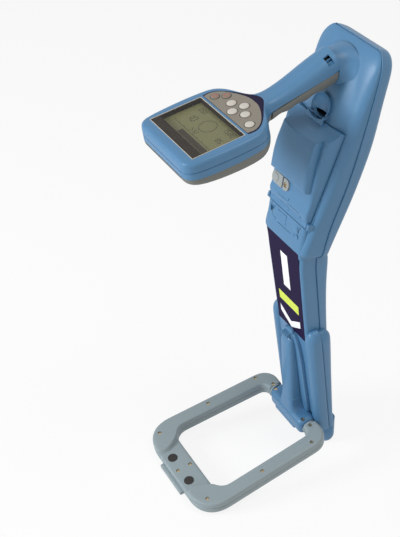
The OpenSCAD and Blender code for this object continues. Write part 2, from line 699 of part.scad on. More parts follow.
module head_shell() color(blue) stand() difference() {
    union() {
        difference() {
            head_form(0);
            head_form(wall);
            head_under();
        }
        intersection() {
            difference() {
                handle_form(0, 0);
                handle_form(wall, spigot_in - 4);
                head_form(wall);
            }
            side_slab([[-50, split_z(-50)], [-29, split_z(-29)], [grip0[0] + 20, split_z(grip0[0] + 20)],
                [grip0[0] + 20, head_top + 60], [-50, head_top + 60]], beyond);
        }
        // Pillars that take the head screws
        intersection() {
            on_head_screws() translate([0, 0, head_low + 6]) cylinder(r = 4, h = head_t - 8);
            difference() {
                box(head_w, -head_front, 0, head_low, head_top);
                head_under();
            }
        }
    }
    // Display recess and keypad
    box(lens_w / 2, lens_y0, lens_y1, head_top - 9, head_top + 1);
    translate([0, 0, head_top - surround_t]) linear_extrude(4) keypad_outline(0.2);
    key_holes(gap + 0.3, head_top - 9, head_top + 1);
    // Spigot bore, screw holes and the ribbed notch by the collar
    on_grip_axis() rod_y(spigot_d / 2 + seat, -spigot_in - 2, 8);
    on_head_screws() translate([0, 0, head_low]) cylinder(r = screw_r - 0.2, h = head_t - 8);
    on_grip_axis() difference() {
        translate([3, -12, handle_b - 5]) cube([13, 8, 8]);
        for (x = [5.5, 9.5]) translate([x, -13, 0]) cube([1.6, 10, handle_b - 3]);
    }
}

module head_base() color(grey) stand() difference() {
    union() {
        difference() {
            head_form(0);
            head_form(wall);
            head_over(-seam_gap);
            translate([-beyond / 2, head_cut_y, 0]) cube([beyond, beyond, 2 * head_top]);
        }
        on_board_posts() translate([0, 0, head_low + 1]) cylinder(r = 3, h = board_z - seat - head_low - 1);
        on_head_screws() translate([0, 0, head_low + 2]) cylinder(r = 5, h = 6);
    }
    on_head_screws() {
        translate([0, 0, head_low - 5]) cylinder(r = screw_r + 0.2, h = 40);
        translate([0, 0, head_low - 5]) cylinder(r = head_r + 0.2, h = 9);
    }
}

module head_seal() color(dark) stand() difference() {
    intersection() {
        difference() { head_form(1); head_form(2); }
        side_slab(concat([for (p = head_curve) [p[0], p[1] - 0.05]],
            [for (k = [24:-1:0]) [head_curve[k][0], head_curve[k][1] - seam_gap + 0.05]]), beyond);
    }
    translate([-beyond / 2, head_cut_y - 1 - 6, 0]) cube([beyond, beyond, 2 * head_top]);
}

module head_screws() color(brass) stand() on_head_screws() {
    translate([0, 0, head_low + 1.6]) cylinder(r = head_r, h = head_h - seat);
    translate([0, 0, head_low + 1.6]) cylinder(r = screw_r - 0.3, h = 18);
}

module grip() color(grey) stand() difference() {
    intersection() {
        difference() {
            handle_form(0, 0.3);
            handle_form(wall, spigot_in - 4);
        }
        side_slab([[head_cut_y + 0.5, grip2[1] - 100], [head_cut_y + 0.5, split_z(head_cut_y + 0.5) - 0.3],
            [grip0[0] + 20, split_z(grip0[0] + 20) - 0.3], [grip0[0] + 20, grip2[1] - 100]], 4 * handle_a);
    }
    on_grip_axis() rod_y(spigot_d / 2 + seat, -spigot_in - 2, 4);
    // Finger waves
    for (k = [0:2]) translate([0, grip0[0] - finger_d(k), finger_z(k)]) rod_x(finger_r, 3 * handle_a);
}

module handle_spigot() color(dark) stand() on_grip_axis() difference() {
    rod_y(spigot_d / 2, -spigot_in, spigot_out);
    rod_y(spigot_d / 2 - spigot_wall, -beyond, beyond);
}

module display_bezel() color(dark) stand() difference() {
    box(lens_w / 2 - seat, lens_y0 + seat, lens_y1 - seat, head_top - 8, head_top - 0.3);
    box(lens_w / 2 - seat - bezel_wall, lens_y0 + seat + bezel_wall, lens_y1 - seat - bezel_wall,
        bezel_floor, head_top + 1);
    box(lens_w / 2 - lens_frame, lens_y0 + lens_strip, lens_y1 - lens_frame, head_top - 20, head_top);
}

module display_window() color([0.8, 0.85, 0.85, 0.4]) stand()
    box(lens_w / 2 - 2 * seat - bezel_wall, lens_y0 + 2 * seat + bezel_wall,
        lens_y1 - 2 * seat - bezel_wall, bezel_floor + seat, bezel_floor + window_t);

module display_module() color([0.49, 0.49, 0.35]) stand()
    box(lens_w / 2 - lens_frame - seat, lens_y0 + lens_strip + seat, lens_y1 - lens_frame - seat,
        board_z + board_t + seat, bezel_floor);

module head_board() color(board_green) stand() difference() {
    box(head_w / 2 - 18, 20 - head_front, keys_y + 7, board_z, board_z + board_t);
    on_head_screws() translate([0, 0, head_low]) cylinder(r = 5, h = head_t);
}

module sounder() color(dark) stand() translate([0, head_mid_y, head_low + wall + seat])
    cylinder(r = sounder_r, h = sounder_h);

module keypad_surround() color(purple) stand() difference() {
    translate([0, 0, head_top - surround_t + seat]) linear_extrude(surround_t - seat) keypad_outline(0);
    key_holes(gap, head_top - 5, head_top + 5);
}

module keypad_panel() color([0.61, 0.58, 0.54]) stand() difference() {
    translate([0, 0, head_top + seat / 2]) linear_extrude(panel_t) panel_outline();
    key_holes(gap, head_top - 5, head_top + 5);
}

module key_switches() color(steel) stand()
    for (p = key_pts) translate([p[0], p[1], board_z + board_t + seat / 2])
        cylinder(r = 3, h = head_top - key_low - key_travel - 0.2 - board_z - board_t);

module key(k) stand() translate([key_pts[k][0], key_pts[k][1], head_top - key_low])
    cylinder(d = key_ds[k], h = key_low + panel_t + key_proud);
module key_light() color(grey) key(0);
module key_sound() color(grey) key(1);
module key_left() color(white) key(2);
module key_up() color(white) key(3);
module key_down() color(white) key(4);
module key_right() color(white) key(5);
module key_power() color(white) key(6);

module foot_bracket() color(blue) stand() difference() {
    union() {
        box(plate_w / 2, plate_back - plate_t, plate_back, hinge_z + barrel_r, plate_top - 12);
        // Wedge column with its rounded top, and the web down to the barrel
        hull() {
            for (s = [-1, 1]) {
                translate([s * 7, -hinge_y - 4, hinge_z + 20]) sphere(7, $fn = 32);
                translate([s * 7, -blade_front - 6.5, plate_top - 7]) sphere(6, $fn = 32);
            }
            box(13, plate_back - 1, plate_back, hinge_z + 20, plate_top - 2);
        }
        hull() {
            at_hinge() rod_x(barrel_r - 0.5, barrel_l - 14);
            box(14, -hinge_y - 9, plate_back, hinge_z + 30, hinge_z + 34);
        }
        at_hinge() rod_x(barrel_r, barrel_l);
    }
    at_hinge() rod_x(shaft_d / 2 + run_fit, barrel_l + 2);
    // Button pocket
    box(button_w / 2 + gap, button_front - 5, pocket_y, button_z - button_h / 2 - gap,
        button_z + button_h / 2 + gap);
    for (p = bracket_screw_pts, s = [-1, 1]) translate([s * p[0], 0, p[1]]) {
        rod_y(screw_r + 0.2, -beyond, 0);
        rod_y(head_r + 0.2, -beyond, plate_back - plate_t + 2.6);
    }
    for (s = [-1, 1]) at_hinge() translate([s * (barrel_l / 2 - 6), 0, 0]) {
        cylinder(r = screw_r, h = 2 * barrel_r);
        translate([0, 0, barrel_r - loop_sink]) cylinder(r = loop_head_r + 0.1, h = barrel_r);
    }
}

module bracket_screws() color(brass) stand() for (p = bracket_screw_pts, s = [-1, 1])
    translate([s * p[0], 0, p[1]]) {
        rod_y(head_r, plate_back - plate_t + 0.4, plate_back - plate_t + 2.6 - seat);
        rod_y(screw_r, plate_back - plate_t + 0.4, 7 - blade_front);
    }

module foot_button() color(blue) stand() difference() {
    box(button_w / 2, button_front, pocket_y - button_travel - 1, button_z - button_h / 2,
        button_z + button_h / 2);
    // Ribs across the face
    for (k = [-1:1]) translate([0, button_front, button_z + 4 * k]) rotate([45, 0, 0])
        cube([button_w + 2, 1.2, 1.2], center = true);
}

module button_spring() color(steel) stand()
    box(5, pocket_y - 0.7, pocket_y - seat / 2, button_z - 5, button_z + 5);

module hinge_shaft() color(steel) stand() at_hinge() rod_x(shaft_d / 2, shaft_l);

module hinge_collars() color(pale) stand() at_hinge() for (s = [-1, 1])
    translate([s * (barrel_l / 2 + gap + collar_l / 2), 0, 0]) difference() {
        rod_x(collar_r, collar_l - seat);
        rod_x(shaft_d / 2 + 0.02, collar_l + 2);
    }

module barrel_screws() color(brass) stand() at_hinge() for (s = [-1, 1])
    translate([s * (barrel_l / 2 - 6), 0, 0]) {
        translate([0, 0, barrel_r - loop_sink + seat]) cylinder(r = loop_head_r - 0.1, h = loop_head_h);
        translate([0, 0, shaft_d / 2 + 0.5]) cylinder(r = 1.3, h = barrel_r - shaft_d / 2 - 1);
    }

// Half of the loop above or below the hinge axis (s = 1 or -1), with softened outer edges.
module loop_half(s) {
    translate([0, 0, s > 0 ? seat / 2 : 3 - loop_t / 2])
        linear_extrude(loop_t / 2 - 3 - seat / 2) loop_plan(0);
    translate([0, 0, s > 0 ? loop_t / 2 - 3 : -loop_t / 2]) linear_extrude(3) loop_plan(-1.8);
}
module coil_plan(d) difference() {
    loop_outer(-coil_out + d);
    loop_outer(-coil_out - coil_w - d);
    translate([-stub_x - 16, -loop_t / 2 - 14]) square([2 * stub_x + 32, loop_t + 30]);
}

module loop_top() color(pale) stand() at_hinge() difference() {
    loop_half(1);
    rod_x(shaft_d / 2 + 0.02, shaft_l + 0.4);
    // Saddle of the far bar, with sloping ends
    translate([0, -loop_reach + 12, 0]) rotate([90, 0, 0]) linear_extrude(loop_bar + 30) polygon([
        [-saddle_x - 9, loop_t], [-saddle_x - 8, loop_t / 2 - 1], [-saddle_x, saddle_top],
        [saddle_x, saddle_top], [saddle_x + 8, loop_t / 2 - 1], [saddle_x + 9, loop_t]]);
    for (p = screw_pts) translate([p[0], p[1], 0]) {
        cylinder(r = screw_r + 0.1, h = loop_t);
        translate([0, 0, p[2] - loop_sink]) cylinder(r = loop_head_r + 0.2, h = loop_t);
    }
    for (p = stub_pts) translate([p[0], p[1], p[2] - loop_sink]) cylinder(r = loop_head_r + 0.2, h = loop_t);
    for (s = [-1, 1]) translate([s * buffer_x, buffer_y, saddle_top - loop_head_h])
        cylinder(r = buffer_r + seat, h = loop_t);
    translate([0, 0, -1]) linear_extrude(2.6) coil_plan(0.2);
}

module loop_base() color(pale) stand() at_hinge() difference() {
    union() {
        loop_half(-1);
        box(30, -loop_reach - loop_bar - lip, -loop_reach - loop_bar + 4, -loop_t / 2, -loop_t / 2 + 7);
    }
    rod_x(shaft_d / 2 + 0.02, shaft_l + 0.4);
    for (p = screw_pts) translate([p[0], p[1], -6]) cylinder(r = screw_r - 0.2, h = 20);
    translate([0, 0, -3]) linear_extrude(4) coil_plan(0.2);
}

module loop_coil() color(copper) stand() at_hinge() translate([0, 0, -2.8])
    linear_extrude(4.2) coil_plan(0);

module loop_screws() color(brass) stand() at_hinge() {
    for (p = screw_pts) translate([p[0], p[1], 0]) {
        translate([0, 0, p[2] - loop_sink + seat]) cylinder(r = loop_head_r, h = loop_head_h);
        translate([0, 0, -5]) cylinder(r = screw_r - 0.3, h = p[2] + 4);
    }
    for (p = stub_pts) translate([p[0], p[1], p[2] - loop_sink + seat])
        cylinder(r = loop_head_r, h = loop_head_h);
}

module loop_buffers() color(dark) stand() at_hinge() for (s = [-1, 1])
    translate([s * buffer_x, buffer_y, saddle_top - loop_head_h + seat]) cylinder(r = buffer_r, h = 2.2);

front_shell();
rear_shell();
shell_seal();
shell_screws();
toe_cap();
label_plate();
chassis();
main_board();
antenna_lower();
antenna_upper();
battery_door();
door_pin();
door_catch();
catch_spring();
battery_tray();
battery_cells();
battery_contacts();
accessory_socket();
flap_base();
dust_flap();
flap_screw();
head_shell();
head_base();
head_seal();
head_screws();
grip();
handle_spigot();
display_bezel();
display_window();
display_module();
head_board();
sounder();
keypad_surround();
keypad_panel();
key_switches();
key_light();
key_sound();
key_left();
key_up();
key_down();
key_right();
key_power();
foot_bracket();
bracket_screws();
foot_button();
button_spring();
hinge_shaft();
hinge_collars();
barrel_screws();
loop_top();
loop_base();
loop_coil();
loop_screws();
loop_buffers();
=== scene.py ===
import json
import math

import bmesh
import bpy
from mathutils import Matrix, Vector
from mathutils.bvhtree import BVHTree


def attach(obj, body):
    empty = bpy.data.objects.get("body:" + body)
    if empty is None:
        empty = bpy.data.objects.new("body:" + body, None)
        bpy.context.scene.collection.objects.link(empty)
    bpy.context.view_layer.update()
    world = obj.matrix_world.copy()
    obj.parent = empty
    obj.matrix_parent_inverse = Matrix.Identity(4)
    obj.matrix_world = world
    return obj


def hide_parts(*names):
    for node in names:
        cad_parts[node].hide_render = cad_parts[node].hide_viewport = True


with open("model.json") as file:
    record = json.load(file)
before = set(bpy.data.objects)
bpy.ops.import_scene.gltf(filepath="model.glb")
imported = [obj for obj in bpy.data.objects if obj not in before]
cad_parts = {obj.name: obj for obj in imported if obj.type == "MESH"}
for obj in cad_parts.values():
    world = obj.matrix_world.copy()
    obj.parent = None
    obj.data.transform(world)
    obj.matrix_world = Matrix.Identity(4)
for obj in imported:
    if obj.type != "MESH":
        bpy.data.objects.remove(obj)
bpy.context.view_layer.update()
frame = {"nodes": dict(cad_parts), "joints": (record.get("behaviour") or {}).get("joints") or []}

# How the locator stands: it is drawn in millimetres with its blade upright, then leans on its
# toe and loop. The foot button's travel is square to the blade, so it gives the lean.
joints = {joint["name"]: joint for joint in frame["joints"]}
push = joints["foot_button_push"]["axis"]
lean = math.atan2(push[2], push[1])
loop_axis = Vector((0, -36, 68))
bend_z = 398
tilt = math.radians(26.5)
upright = (
    Matrix.Translation(joints["loop_hinge"]["pos_m"])
    @ Matrix.Rotation(lean, 4, "X")
    @ Matrix.Scale(0.001, 4)
    @ Matrix.Translation(-loop_axis)
)
leaning = Matrix.Translation((0, 0, bend_z)) @ Matrix.Rotation(-tilt, 4, "X")

# Body shells: two injection-moulded halves of blue plastic with a fine spark-eroded grain. They
# part along the side of the blade and of the leaning housing, and are held by screws from behind.


def linear(*srgb):
    """A colour given in steps of 0 to 255, as the shader's linear colour."""
    return [((c / 255 + 0.055) / 1.055) ** 2.4 if c > 10 else c / 255 / 12.92 for c in srgb] + [1]


def set_sockets(node, **values):
    """Sets a shader node's inputs, named with _ for each space."""
    for name, value in values.items():
        node.inputs[name.replace("_", " ")].default_value = value


def add_node(tree, kind, **values):
    node = tree.nodes.new("ShaderNode" + kind)
    set_sockets(node, **values)
    return node


def moulded(name, srgb, roughness=0.5, grain=900, depth=0.00012, cloud=0.06, specular=0.4):
    """Moulded plastic or rubber: a grain in the surface and a faint unevenness of colour."""
    material = bpy.data.materials.new(name)
    material.use_nodes = True
    tree = material.node_tree
    links = tree.links
    shader = tree.nodes["Principled BSDF"]
    set_sockets(shader, Specular_IOR_Level=specular)
    place = add_node(tree, "TexCoord")
    patches = add_node(tree, "TexNoise", Scale=14, Detail=4)
    tint = add_node(tree, "Mix")
    tint.data_type = "RGBA"
    # A Mix node's colours are its inputs 6 and 7 and its output 2
    colour = linear(*srgb)
    tint.inputs[6].default_value = [c * (1 - cloud) for c in colour[:3]] + [1]
    tint.inputs[7].default_value = [c * (1 + cloud) for c in colour[:3]] + [1]
    pores = add_node(tree, "TexNoise", Scale=grain, Detail=2)
    sheen = add_node(tree, "MapRange", To_Min=roughness - 0.08, To_Max=roughness + 0.08)
    relief = add_node(tree, "Bump", Strength=0.5, Distance=depth)
    for texture in (patches, pores):
        links.new(place.outputs["Object"], texture.inputs["Vector"])
    links.new(patches.outputs["Fac"], tint.inputs["Factor"])
    links.new(tint.outputs[2], shader.inputs["Base Color"])
    links.new(pores.outputs["Fac"], sheen.inputs["Value"])
    links.new(sheen.outputs["Result"], shader.inputs["Roughness"])
    links.new(pores.outputs["Fac"], relief.inputs["Height"])
    links.new(relief.outputs["Normal"], shader.inputs["Normal"])
    return material


def metal(name, srgb, roughness):
    """Bare metal with a fine drawn grain."""
    material = moulded(name, srgb, roughness, grain=300, depth=0.00005, cloud=0.05)
    set_sockets(material.node_tree.nodes["Principled BSDF"], Metallic=1)
    return material


def loft(bm, chains, closed=False):
    """A skin through chains of points of equal count, made by extruding the first chain's edges."""
    verts = [bm.verts.new(p) for p in chains[0]]
    pairs = list(zip(verts, verts[1:] + verts[:1])) if closed else list(zip(verts, verts[1:]))
    edges = [bm.edges.new(pair) for pair in pairs]
    first = edges
    for chain in chains[1:]:
        grown = bmesh.ops.extrude_edge_only(bm, edges=edges)["geom"]
        fresh = {g for g in grown if isinstance(g, bmesh.types.BMVert)}
        verts = [next(e.other_vert(v) for e in v.link_edges if e.other_vert(v) in fresh) for v in verts]
        for vert, point in zip(verts, chain):
            vert.co = point
        edges = [g for g in grown if isinstance(g, bmesh.types.BMEdge) and set(g.verts) <= fresh]
    return first, edges


def capped(chains, ends=(True, True)):
    """A closed skin through rings, with its ends filled."""
    bm = bmesh.new()
    for rim, wanted in zip(loft(bm, chains, closed=True), ends):
        if wanted:
            bmesh.ops.edgeloop_fill(bm, edges=rim)
    bmesh.ops.recalc_face_normals(bm, faces=bm.faces)
    return bm


def open_skin(chains, centre):
    """A skin through open chains that looks away from a line of centres, which a function gives."""
    bm = bmesh.new()
    loft(bm, chains)
    bm.normal_update()
    middles = [(face.normal, face.calc_center_median()) for face in bm.faces]
    if sum(normal.dot(middle - centre(middle)) for normal, middle in middles) < 0:
        bmesh.ops.reverse_faces(bm, faces=bm.faces)
    return bm


def moved(bm, matrix):
    bmesh.ops.transform(bm, matrix=matrix, verts=bm.verts)
    return bm


def rounded(bm, edges, radius, segments=3):
    bmesh.ops.bevel(
        bm, geom=edges, offset=radius, segments=segments, profile=0.5, affect="EDGES", material=-1
    )
    return bm


def shaped(bm, rounds=0, wall=0, cuts=()):
    """The mesh of a bmesh once it is rounded, thickened inwards and cut by other bmeshes."""
    objects = []
    for source in (bm, *cuts):
        mesh = bpy.data.meshes.new("shape")
        source.to_mesh(mesh)
        source.free()
        objects.append(bpy.data.objects.new("shape", mesh))
        bpy.context.scene.collection.objects.link(objects[-1])
    if rounds:
        modifier = objects[0].modifiers.new("round", "SUBSURF")
        modifier.levels = modifier.render_levels = rounds
    if wall:
        modifier = objects[0].modifiers.new("wall", "SOLIDIFY")
        modifier.thickness = wall
        modifier.offset = -1
    for cutter in objects[1:]:
        modifier = objects[0].modifiers.new("cut", "BOOLEAN")
        modifier.object = cutter
        modifier.solver = "EXACT"
    depsgraph = bpy.context.evaluated_depsgraph_get()
    made = bpy.data.meshes.new_from_object(objects[0].evaluated_get(depsgraph))
    for temporary in objects:
        bpy.data.objects.remove(temporary)
    return made


def from_mesh(mesh):
    bm = bmesh.new()
    bm.from_mesh(mesh)
    return bm


crease = math.radians(35)


def piece(name, meshes, nodes, material, body="wand", place=upright):
    """One finished piece out of meshes drawn in millimetres."""
    bm = bmesh.new()
    for mesh in meshes:
        bm.from_mesh(mesh)
    moved(bm, place)
    for face in bm.faces:
        face.smooth = True
        face.material_index = 0
    mesh = bpy.data.meshes.new(name)
    bm.to_mesh(mesh)
    bm.free()
    mesh.materials.clear()
    mesh.materials.append(material)
    mesh.set_sharp_from_angle(angle=crease)
    obj = bpy.data.objects.new(name, mesh)
    bpy.context.scene.collection.objects.link(obj)
    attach(obj, body)
    if nodes:
        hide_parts(*nodes)
    return obj


def ease(t):
    """A smooth step from 0 to 1."""
    t = min(max(t, 0), 1)
    return t * t * (3 - 2 * t)


def arc(cx, cy, radius, start, end, steps=4):
    angles = [math.radians(start + (end - start) * k / steps) for k in range(steps + 1)]
    return [(cx + radius * math.cos(a), cy + radius * math.sin(a)) for a in angles]


def circle(radius, count, cx=0, cy=0):
    angles = [k * math.tau / count for k in range(count)]
    return [(cx + radius * math.cos(a), cy + radius * math.sin(a)) for a in angles]


def mirrored(right):
    """A closed outline out of its right half, which starts at the bottom."""
    return right + [(-x, y) for x, y in right[::-1]]


def from_middle(right):
    """A chain across the object out of its right half, which starts in the middle."""
    return [(-x, y) for x, y in right[:0:-1]] + right


def to_middle(right):
    """A chain across the object out of its right half, which ends in the middle."""
    return right + [(-x, y) for x, y in right[-2::-1]]


seam_gap = 0.12
shell_wall = 1.8
# Stations: place along the body, half width, front, crown, rear, parting, front and rear corners
blade_stations = [
    (Matrix.Translation((0, 0, z)), half, 22, 0, rear, 0, 5, 9)
    for z, half, rear in (
        (48.3, 33, 10.4), (52, 33.1, 10.5), (150, 35.3, 12.6), (250, 37.6, 15.2),
        (300, 38.8, 17.2), (330, 39.5, 19.5), (350, 39.9, 21.8), (362, 40.2, 23.2),
    )
]
bend_stations = [
    (
        Matrix.Translation((0, 0, z)) @ Matrix.Rotation(math.radians(-turn), 4, "X"),
        half, front, 0, rear, part, 5, 9,
    )
    for z, turn, half, front, rear, part in ((371, 7, 40.5, 22, 23.6, 0.6), (380, 16, 41, 21.2, 24, 2))
]
top_part = -13.6
housing_stations = [
    (leaning @ Matrix.Translation((0, 0, z)), half, front, crown, rear, part, front_corner, corner)
    for z, half, front, crown, rear, part, front_corner, corner in (
        (-11.6, 41.8, 18.6, 0, 23.2, 6, 8, 9),
        (-11, 44.6, 18.8, 0, 24, 9, 8, 9),
        (-9.4, 46.4, 19.2, 0, 24.8, 11, 8, 9),
        (-6, 47, 19.8, 0, 25.2, 11.4, 8, 9),
        (0, 47.4, 20.3, 0, 25.5, 10.6, 8, 9),
        (10, 48, 20.8, 0, 25.7, 8.8, 8, 9.5),
        (33, 49, 21.4, 0, 26.8, 5.6, 9, 10),
        (72, 51.6, 22, 0, 27.2, 4.8, 11, 10),
        (100, 53.4, 22.4, 0, 26.6, 3.6, 12, 11),
        (140, 55.8, 22.8, 2, 24.8, -0.8, 13, 12),
        (165, 57.1, 23.4, 6, 22.4, -4.5, 14, 14),
        (200, 57.9, 24, 5.6, 16.6, -8.6, 17, 17),
        (228, 58, 24, 3.2, 12.8, -12, 22, 20),
        (242, 57.4, 23, 1.8, 11.6, -13.2, 27, 20),
        (250, 55.6, 21.6, 0.8, 11, top_part, 28, 19),
        (256.5, 52.2, 19.4, 0.2, 10.2, top_part, 26, 17),
        (260.8, 48.6, 17.4, 0, 8.8, top_part, 22, 15),
        (263.4, 45, 15.6, 0, 6.4, top_part, 16, 12),
    )
]
stations = blade_stations + bend_stations + housing_stations


def front_chain(place, half, front, crown, rear, part, corner, rear_corner):
    """The front shell's section: a crowned face, a rounded corner and a side with a fine beaded end."""
    roll = min(corner, (front + part) * 0.7)
    edge = half - corner
    flat = 0.55 * edge
    face = [(edge * k / 5, -front - crown * ease((edge - edge * k / 5) / (edge - flat))) for k in range(5)]
    bead = min(1, (front + part - roll) / 8)
    end = part - seam_gap
    side = [(edge + corner * x, roll * (1 + y) - front) for x, y in arc(0, 0, 1, -90, 0)]
    side += [(half - x * bead, end - y * bead) for x, y in ((0, 4), (0, 1.6), (0.2, 0.4), (0.5, 0))]
    return [place @ Vector((x, y, 0)) for x, y in from_middle(face + side)]


def rear_chain(place, half, front, crown, rear, part, front_corner, corner):
    """The rear shell's section: a lip a little proud of the seam, a rounded corner and a flat back."""
    corner = min(corner, (rear - part) * 0.6)
    edge = half - corner
    low = part + seam_gap
    step = min(1, (rear - corner - low) / 7)
    side = [(half - 1, low)]
    side += [(half + x * step, low + y * step) for x, y in ((0.6, 0), (1.2, 0.2), (1.4, 1), (0.8, 5))]
    right = side + arc(edge, rear - corner, corner, 0, 90) + [(edge * k / 4, rear) for k in (3, 2, 1, 0)]
    return [place @ Vector((x, y, 0)) for x, y in to_middle(right)]


def spine(point):
    """The middle of the body at a point's height, for telling inside from outside."""
    back = max(0, point.z - bend_z) * math.tan(tilt)
    return Vector((0, back, point.z))


front_tops = [
    (leaning @ Matrix.Translation((0, 0, z)), half, front, 0, 0, top_part, 0.1, 0)
    for z, half, front in ((264.2, 42, 14.4), (264.4, 41, 13.9))
]
front_rows = [front_chain(*station) for station in stations + front_tops]
top_tongue = [leaning @ Vector((p.x, -8, 263.2)) for p in front_rows[-1]]
front_skin = open_skin(front_rows + [top_tongue], spine)
rear_tops = [
    (leaning @ Matrix.Translation((0, 0, z)), half, 0, 0, rear, top_part, 0, corner)
    for z, half, rear, corner in ((265, 42, 2.4, 9), (265.6, 41.2, -6, 4), (265.7, 41, -12, 0.8))
]
rear_skin = open_skin([rear_chain(*station) for station in stations + rear_tops], spine)
boot_x, boot_radius, boot_dome, boot_part, boot_low = 40, 11, 18, -6, 48.3


def boot(side, facing, centre_y, low_depth, top_depth, top):
    """One of the boot's four upright bulges, half round and domed, flat where it meets its other half."""
    straight = top - boot_dome
    rows = [(z, 1) for z in (boot_low, boot_low + 0.4, straight - 100, straight - 30, straight)]
    for angle in map(math.radians, (20, 40, 58, 73, 84)):
        rows.append((straight + boot_dome * math.sin(angle), math.cos(angle)))
    part = boot_part + facing * seam_gap
    rings = []
    for z, share in rows:
        deep = (low_depth + (top_depth - low_depth) * (z - boot_low) / (top - boot_low)) * share
        wide = boot_radius * share
        turn = [math.radians(a) for a in range(0, 181, 20)]
        ring = [(boot_x + wide * math.cos(a), centre_y + facing * deep * math.sin(a)) for a in turn]
        ring += [(boot_x - wide, part), (boot_x, part), (boot_x + wide - 0.4, part)]
        ring += [(boot_x + wide, part + facing * 0.5)]
        rings.append([Vector((side * x, depth, z)) for x, depth in ring])
    return shaped(capped(rings), rounds=1)


def block(x0, x1, y0, y1, z0, z1, soft=0.0, segments=3):
    """A box with rounded edges."""
    bm = bmesh.new()
    bmesh.ops.create_cube(bm, size=1)
    size = Matrix.Diagonal((x1 - x0, y1 - y0, z1 - z0, 1))
    moved(bm, Matrix.Translation(((x0 + x1) / 2, (y0 + y1) / 2, (z0 + z1) / 2)) @ size)
    return rounded(bm, bm.edges[:], soft, segments) if soft else bm


def ball(radius, x, y, z, rings=24):
    bm = bmesh.new()
    bmesh.ops.create_uvsphere(bm, u_segments=2 * rings, v_segments=rings, radius=radius)
    return moved(bm, Matrix.Translation((x, y, z)))


def cylinder(bm, radius, depth, place, segments):
    """Adds a cylinder to a bmesh, along the z of its place and centred there."""
    bmesh.ops.create_cone(
        bm, cap_ends=True, segments=segments, radius1=radius, radius2=radius, depth=depth, matrix=place
    )
    return bm


def rod(radius, length, segments=48):
    """A round bar along x."""
    return cylinder(bmesh.new(), radius, length, Matrix.Rotation(math.pi / 2, 4, "Y"), segments)


def prism(points, y0, y1):
    """A prism through an outline (x, z) between two depths."""
    return capped([[Vector((x, y, z)) for x, z in points] for y in (y0, y1)])


hinge_y, hinge_z = -24, 33
door_low, door_top, door_half_low, door_half_top = hinge_z, 161, 41, 46


def door_half(z):
    return door_half_low + (door_half_top - door_half_low) * (z - door_low) / (door_top - door_low)


def door_opening(grow, y0, y1):
    """A cutter as large as the door and a gap round it."""
    low = door_low - 4.2 - grow / 2
    return prism(mirrored([(door_half(low) + grow, low), (door_half_top + grow, door_top + grow)]), y0, y1)


# The panel below the door in sections: height, half width and how far forward
panel_sections = [
    (-18, 40.4, 15.6), (-10.6, 40.7, 19.3), (-7, 40.8, 20.4),
    (0, 40.9, 21.9), (14, 41.1, 24.9), (31.2, 41.3, 28.2),
]
panel_corner = 5
panel_rings = []
for z, half, front in panel_sections:
    right = [(half * k / 8, -front) for k in range(5)]
    right += arc(half - panel_corner, panel_corner - front, panel_corner, -90, 0) + [(half, -10)]
    panel_rings.append([leaning @ Vector((x, y, z)) for x, y in from_middle(right)])
hinge_seat = moved(rod(5.3, 90, 64), leaning @ Matrix.Translation((0, hinge_y, hinge_z)))


def panel_front(z):
    """How far forward the panel below the door is at a height."""
    spans = zip(panel_sections, panel_sections[1:])
    (z0, _, y0), (z1, _, y1) = next(span for span in spans if z <= span[1][0])
    return y0 + (y1 - y0) * (z - z0) / (z1 - z0)


def line_cut(x0, x1, z0, z1, front, deep=0.8):
    """A cutter for one fine moulded line in a face that is so far forward."""
    return block(x0, x1, -front - 2, deep - front, z0, z1)


panel_lines = [line_cut(-15, 15, 7.6, 8.4, panel_front(8)), line_cut(-17, 0.5, 24.6, 25.4, panel_front(25))]
for low, high in ((27.5, 30.4), (22.5, 26), (17.5, 21), (11.6, 16)):
    panel_lines.append(line_cut(1.6, 2.5, low, high, panel_front((low + high) / 2)))
corner_line = [(24.6, 11), (27.8, 14), (30.2, 18), (31.5, 22.5), (32, 27.5)]
for side in (-1, 1):
    for (x0, z0), (x1, z1) in zip(corner_line, corner_line[1:]):
        front = panel_front((z0 + z1) / 2)
        outline = [(side * x, z) for x, z in ((x0, z0), (x1, z1), (x1 + 0.8, z1), (x0 + 0.8, z0))]
        panel_lines.append(prism(outline, -front - 2, 0.7 - front))
panel_cuts = [hinge_seat] + [moved(line, leaning) for line in panel_lines]
pips_and_ears = [ball(3, side * 21.5, 1.7 - panel_front(10), 10, 12) for side in (-1, 1)]
for side in (-1, 1):
    pips_and_ears.append(block(*sorted((side * 41.6, side * 45.8)), -28, -17, 29.4, 37.6, 1.4))
# The scoop above the door is a bowl, cut off level with the face and where the door begins
scoop = (18, 0, -38.5, 177)
openings = [moved(cut, leaning) for cut in (door_opening(0.8, -80, -8), ball(*scoop))]
bowl = ball(*scoop)
for point, away in (((0, -33, 0), (0, -1, 0)), ((0, 0, 162), (0, 0, -1))):
    parts = bowl.verts[:] + bowl.edges[:] + bowl.faces[:]
    bmesh.ops.bisect_plane(bowl, geom=parts, plane_co=point, plane_no=away, clear_outer=True)
bmesh.ops.reverse_faces(bowl, faces=bowl.faces)
catch_gap = block(-14, 14, -40, -10, 162.5, 170)
# The battery bay is an open box behind the door
bay = bmesh.new()
bay_corners = ((41.8, 26.5), (46.8, 161.8), (-46.8, 161.8), (-41.8, 26.5))
_, bay_floor = loft(bay, [[Vector((x, y, z)) for x, z in bay_corners] for y in (-22, -8)], closed=True)
bmesh.ops.edgeloop_fill(bay, edges=bay_floor)
bmesh.ops.recalc_face_normals(bay, faces=bay.faces)
grip_start = Vector((0, 65.93, 618.89))
collar_foot = leaning @ Vector((0, -23.5, 227))
collar_end = grip_start + Vector((0, 0.5, 0))
collar_rings = []
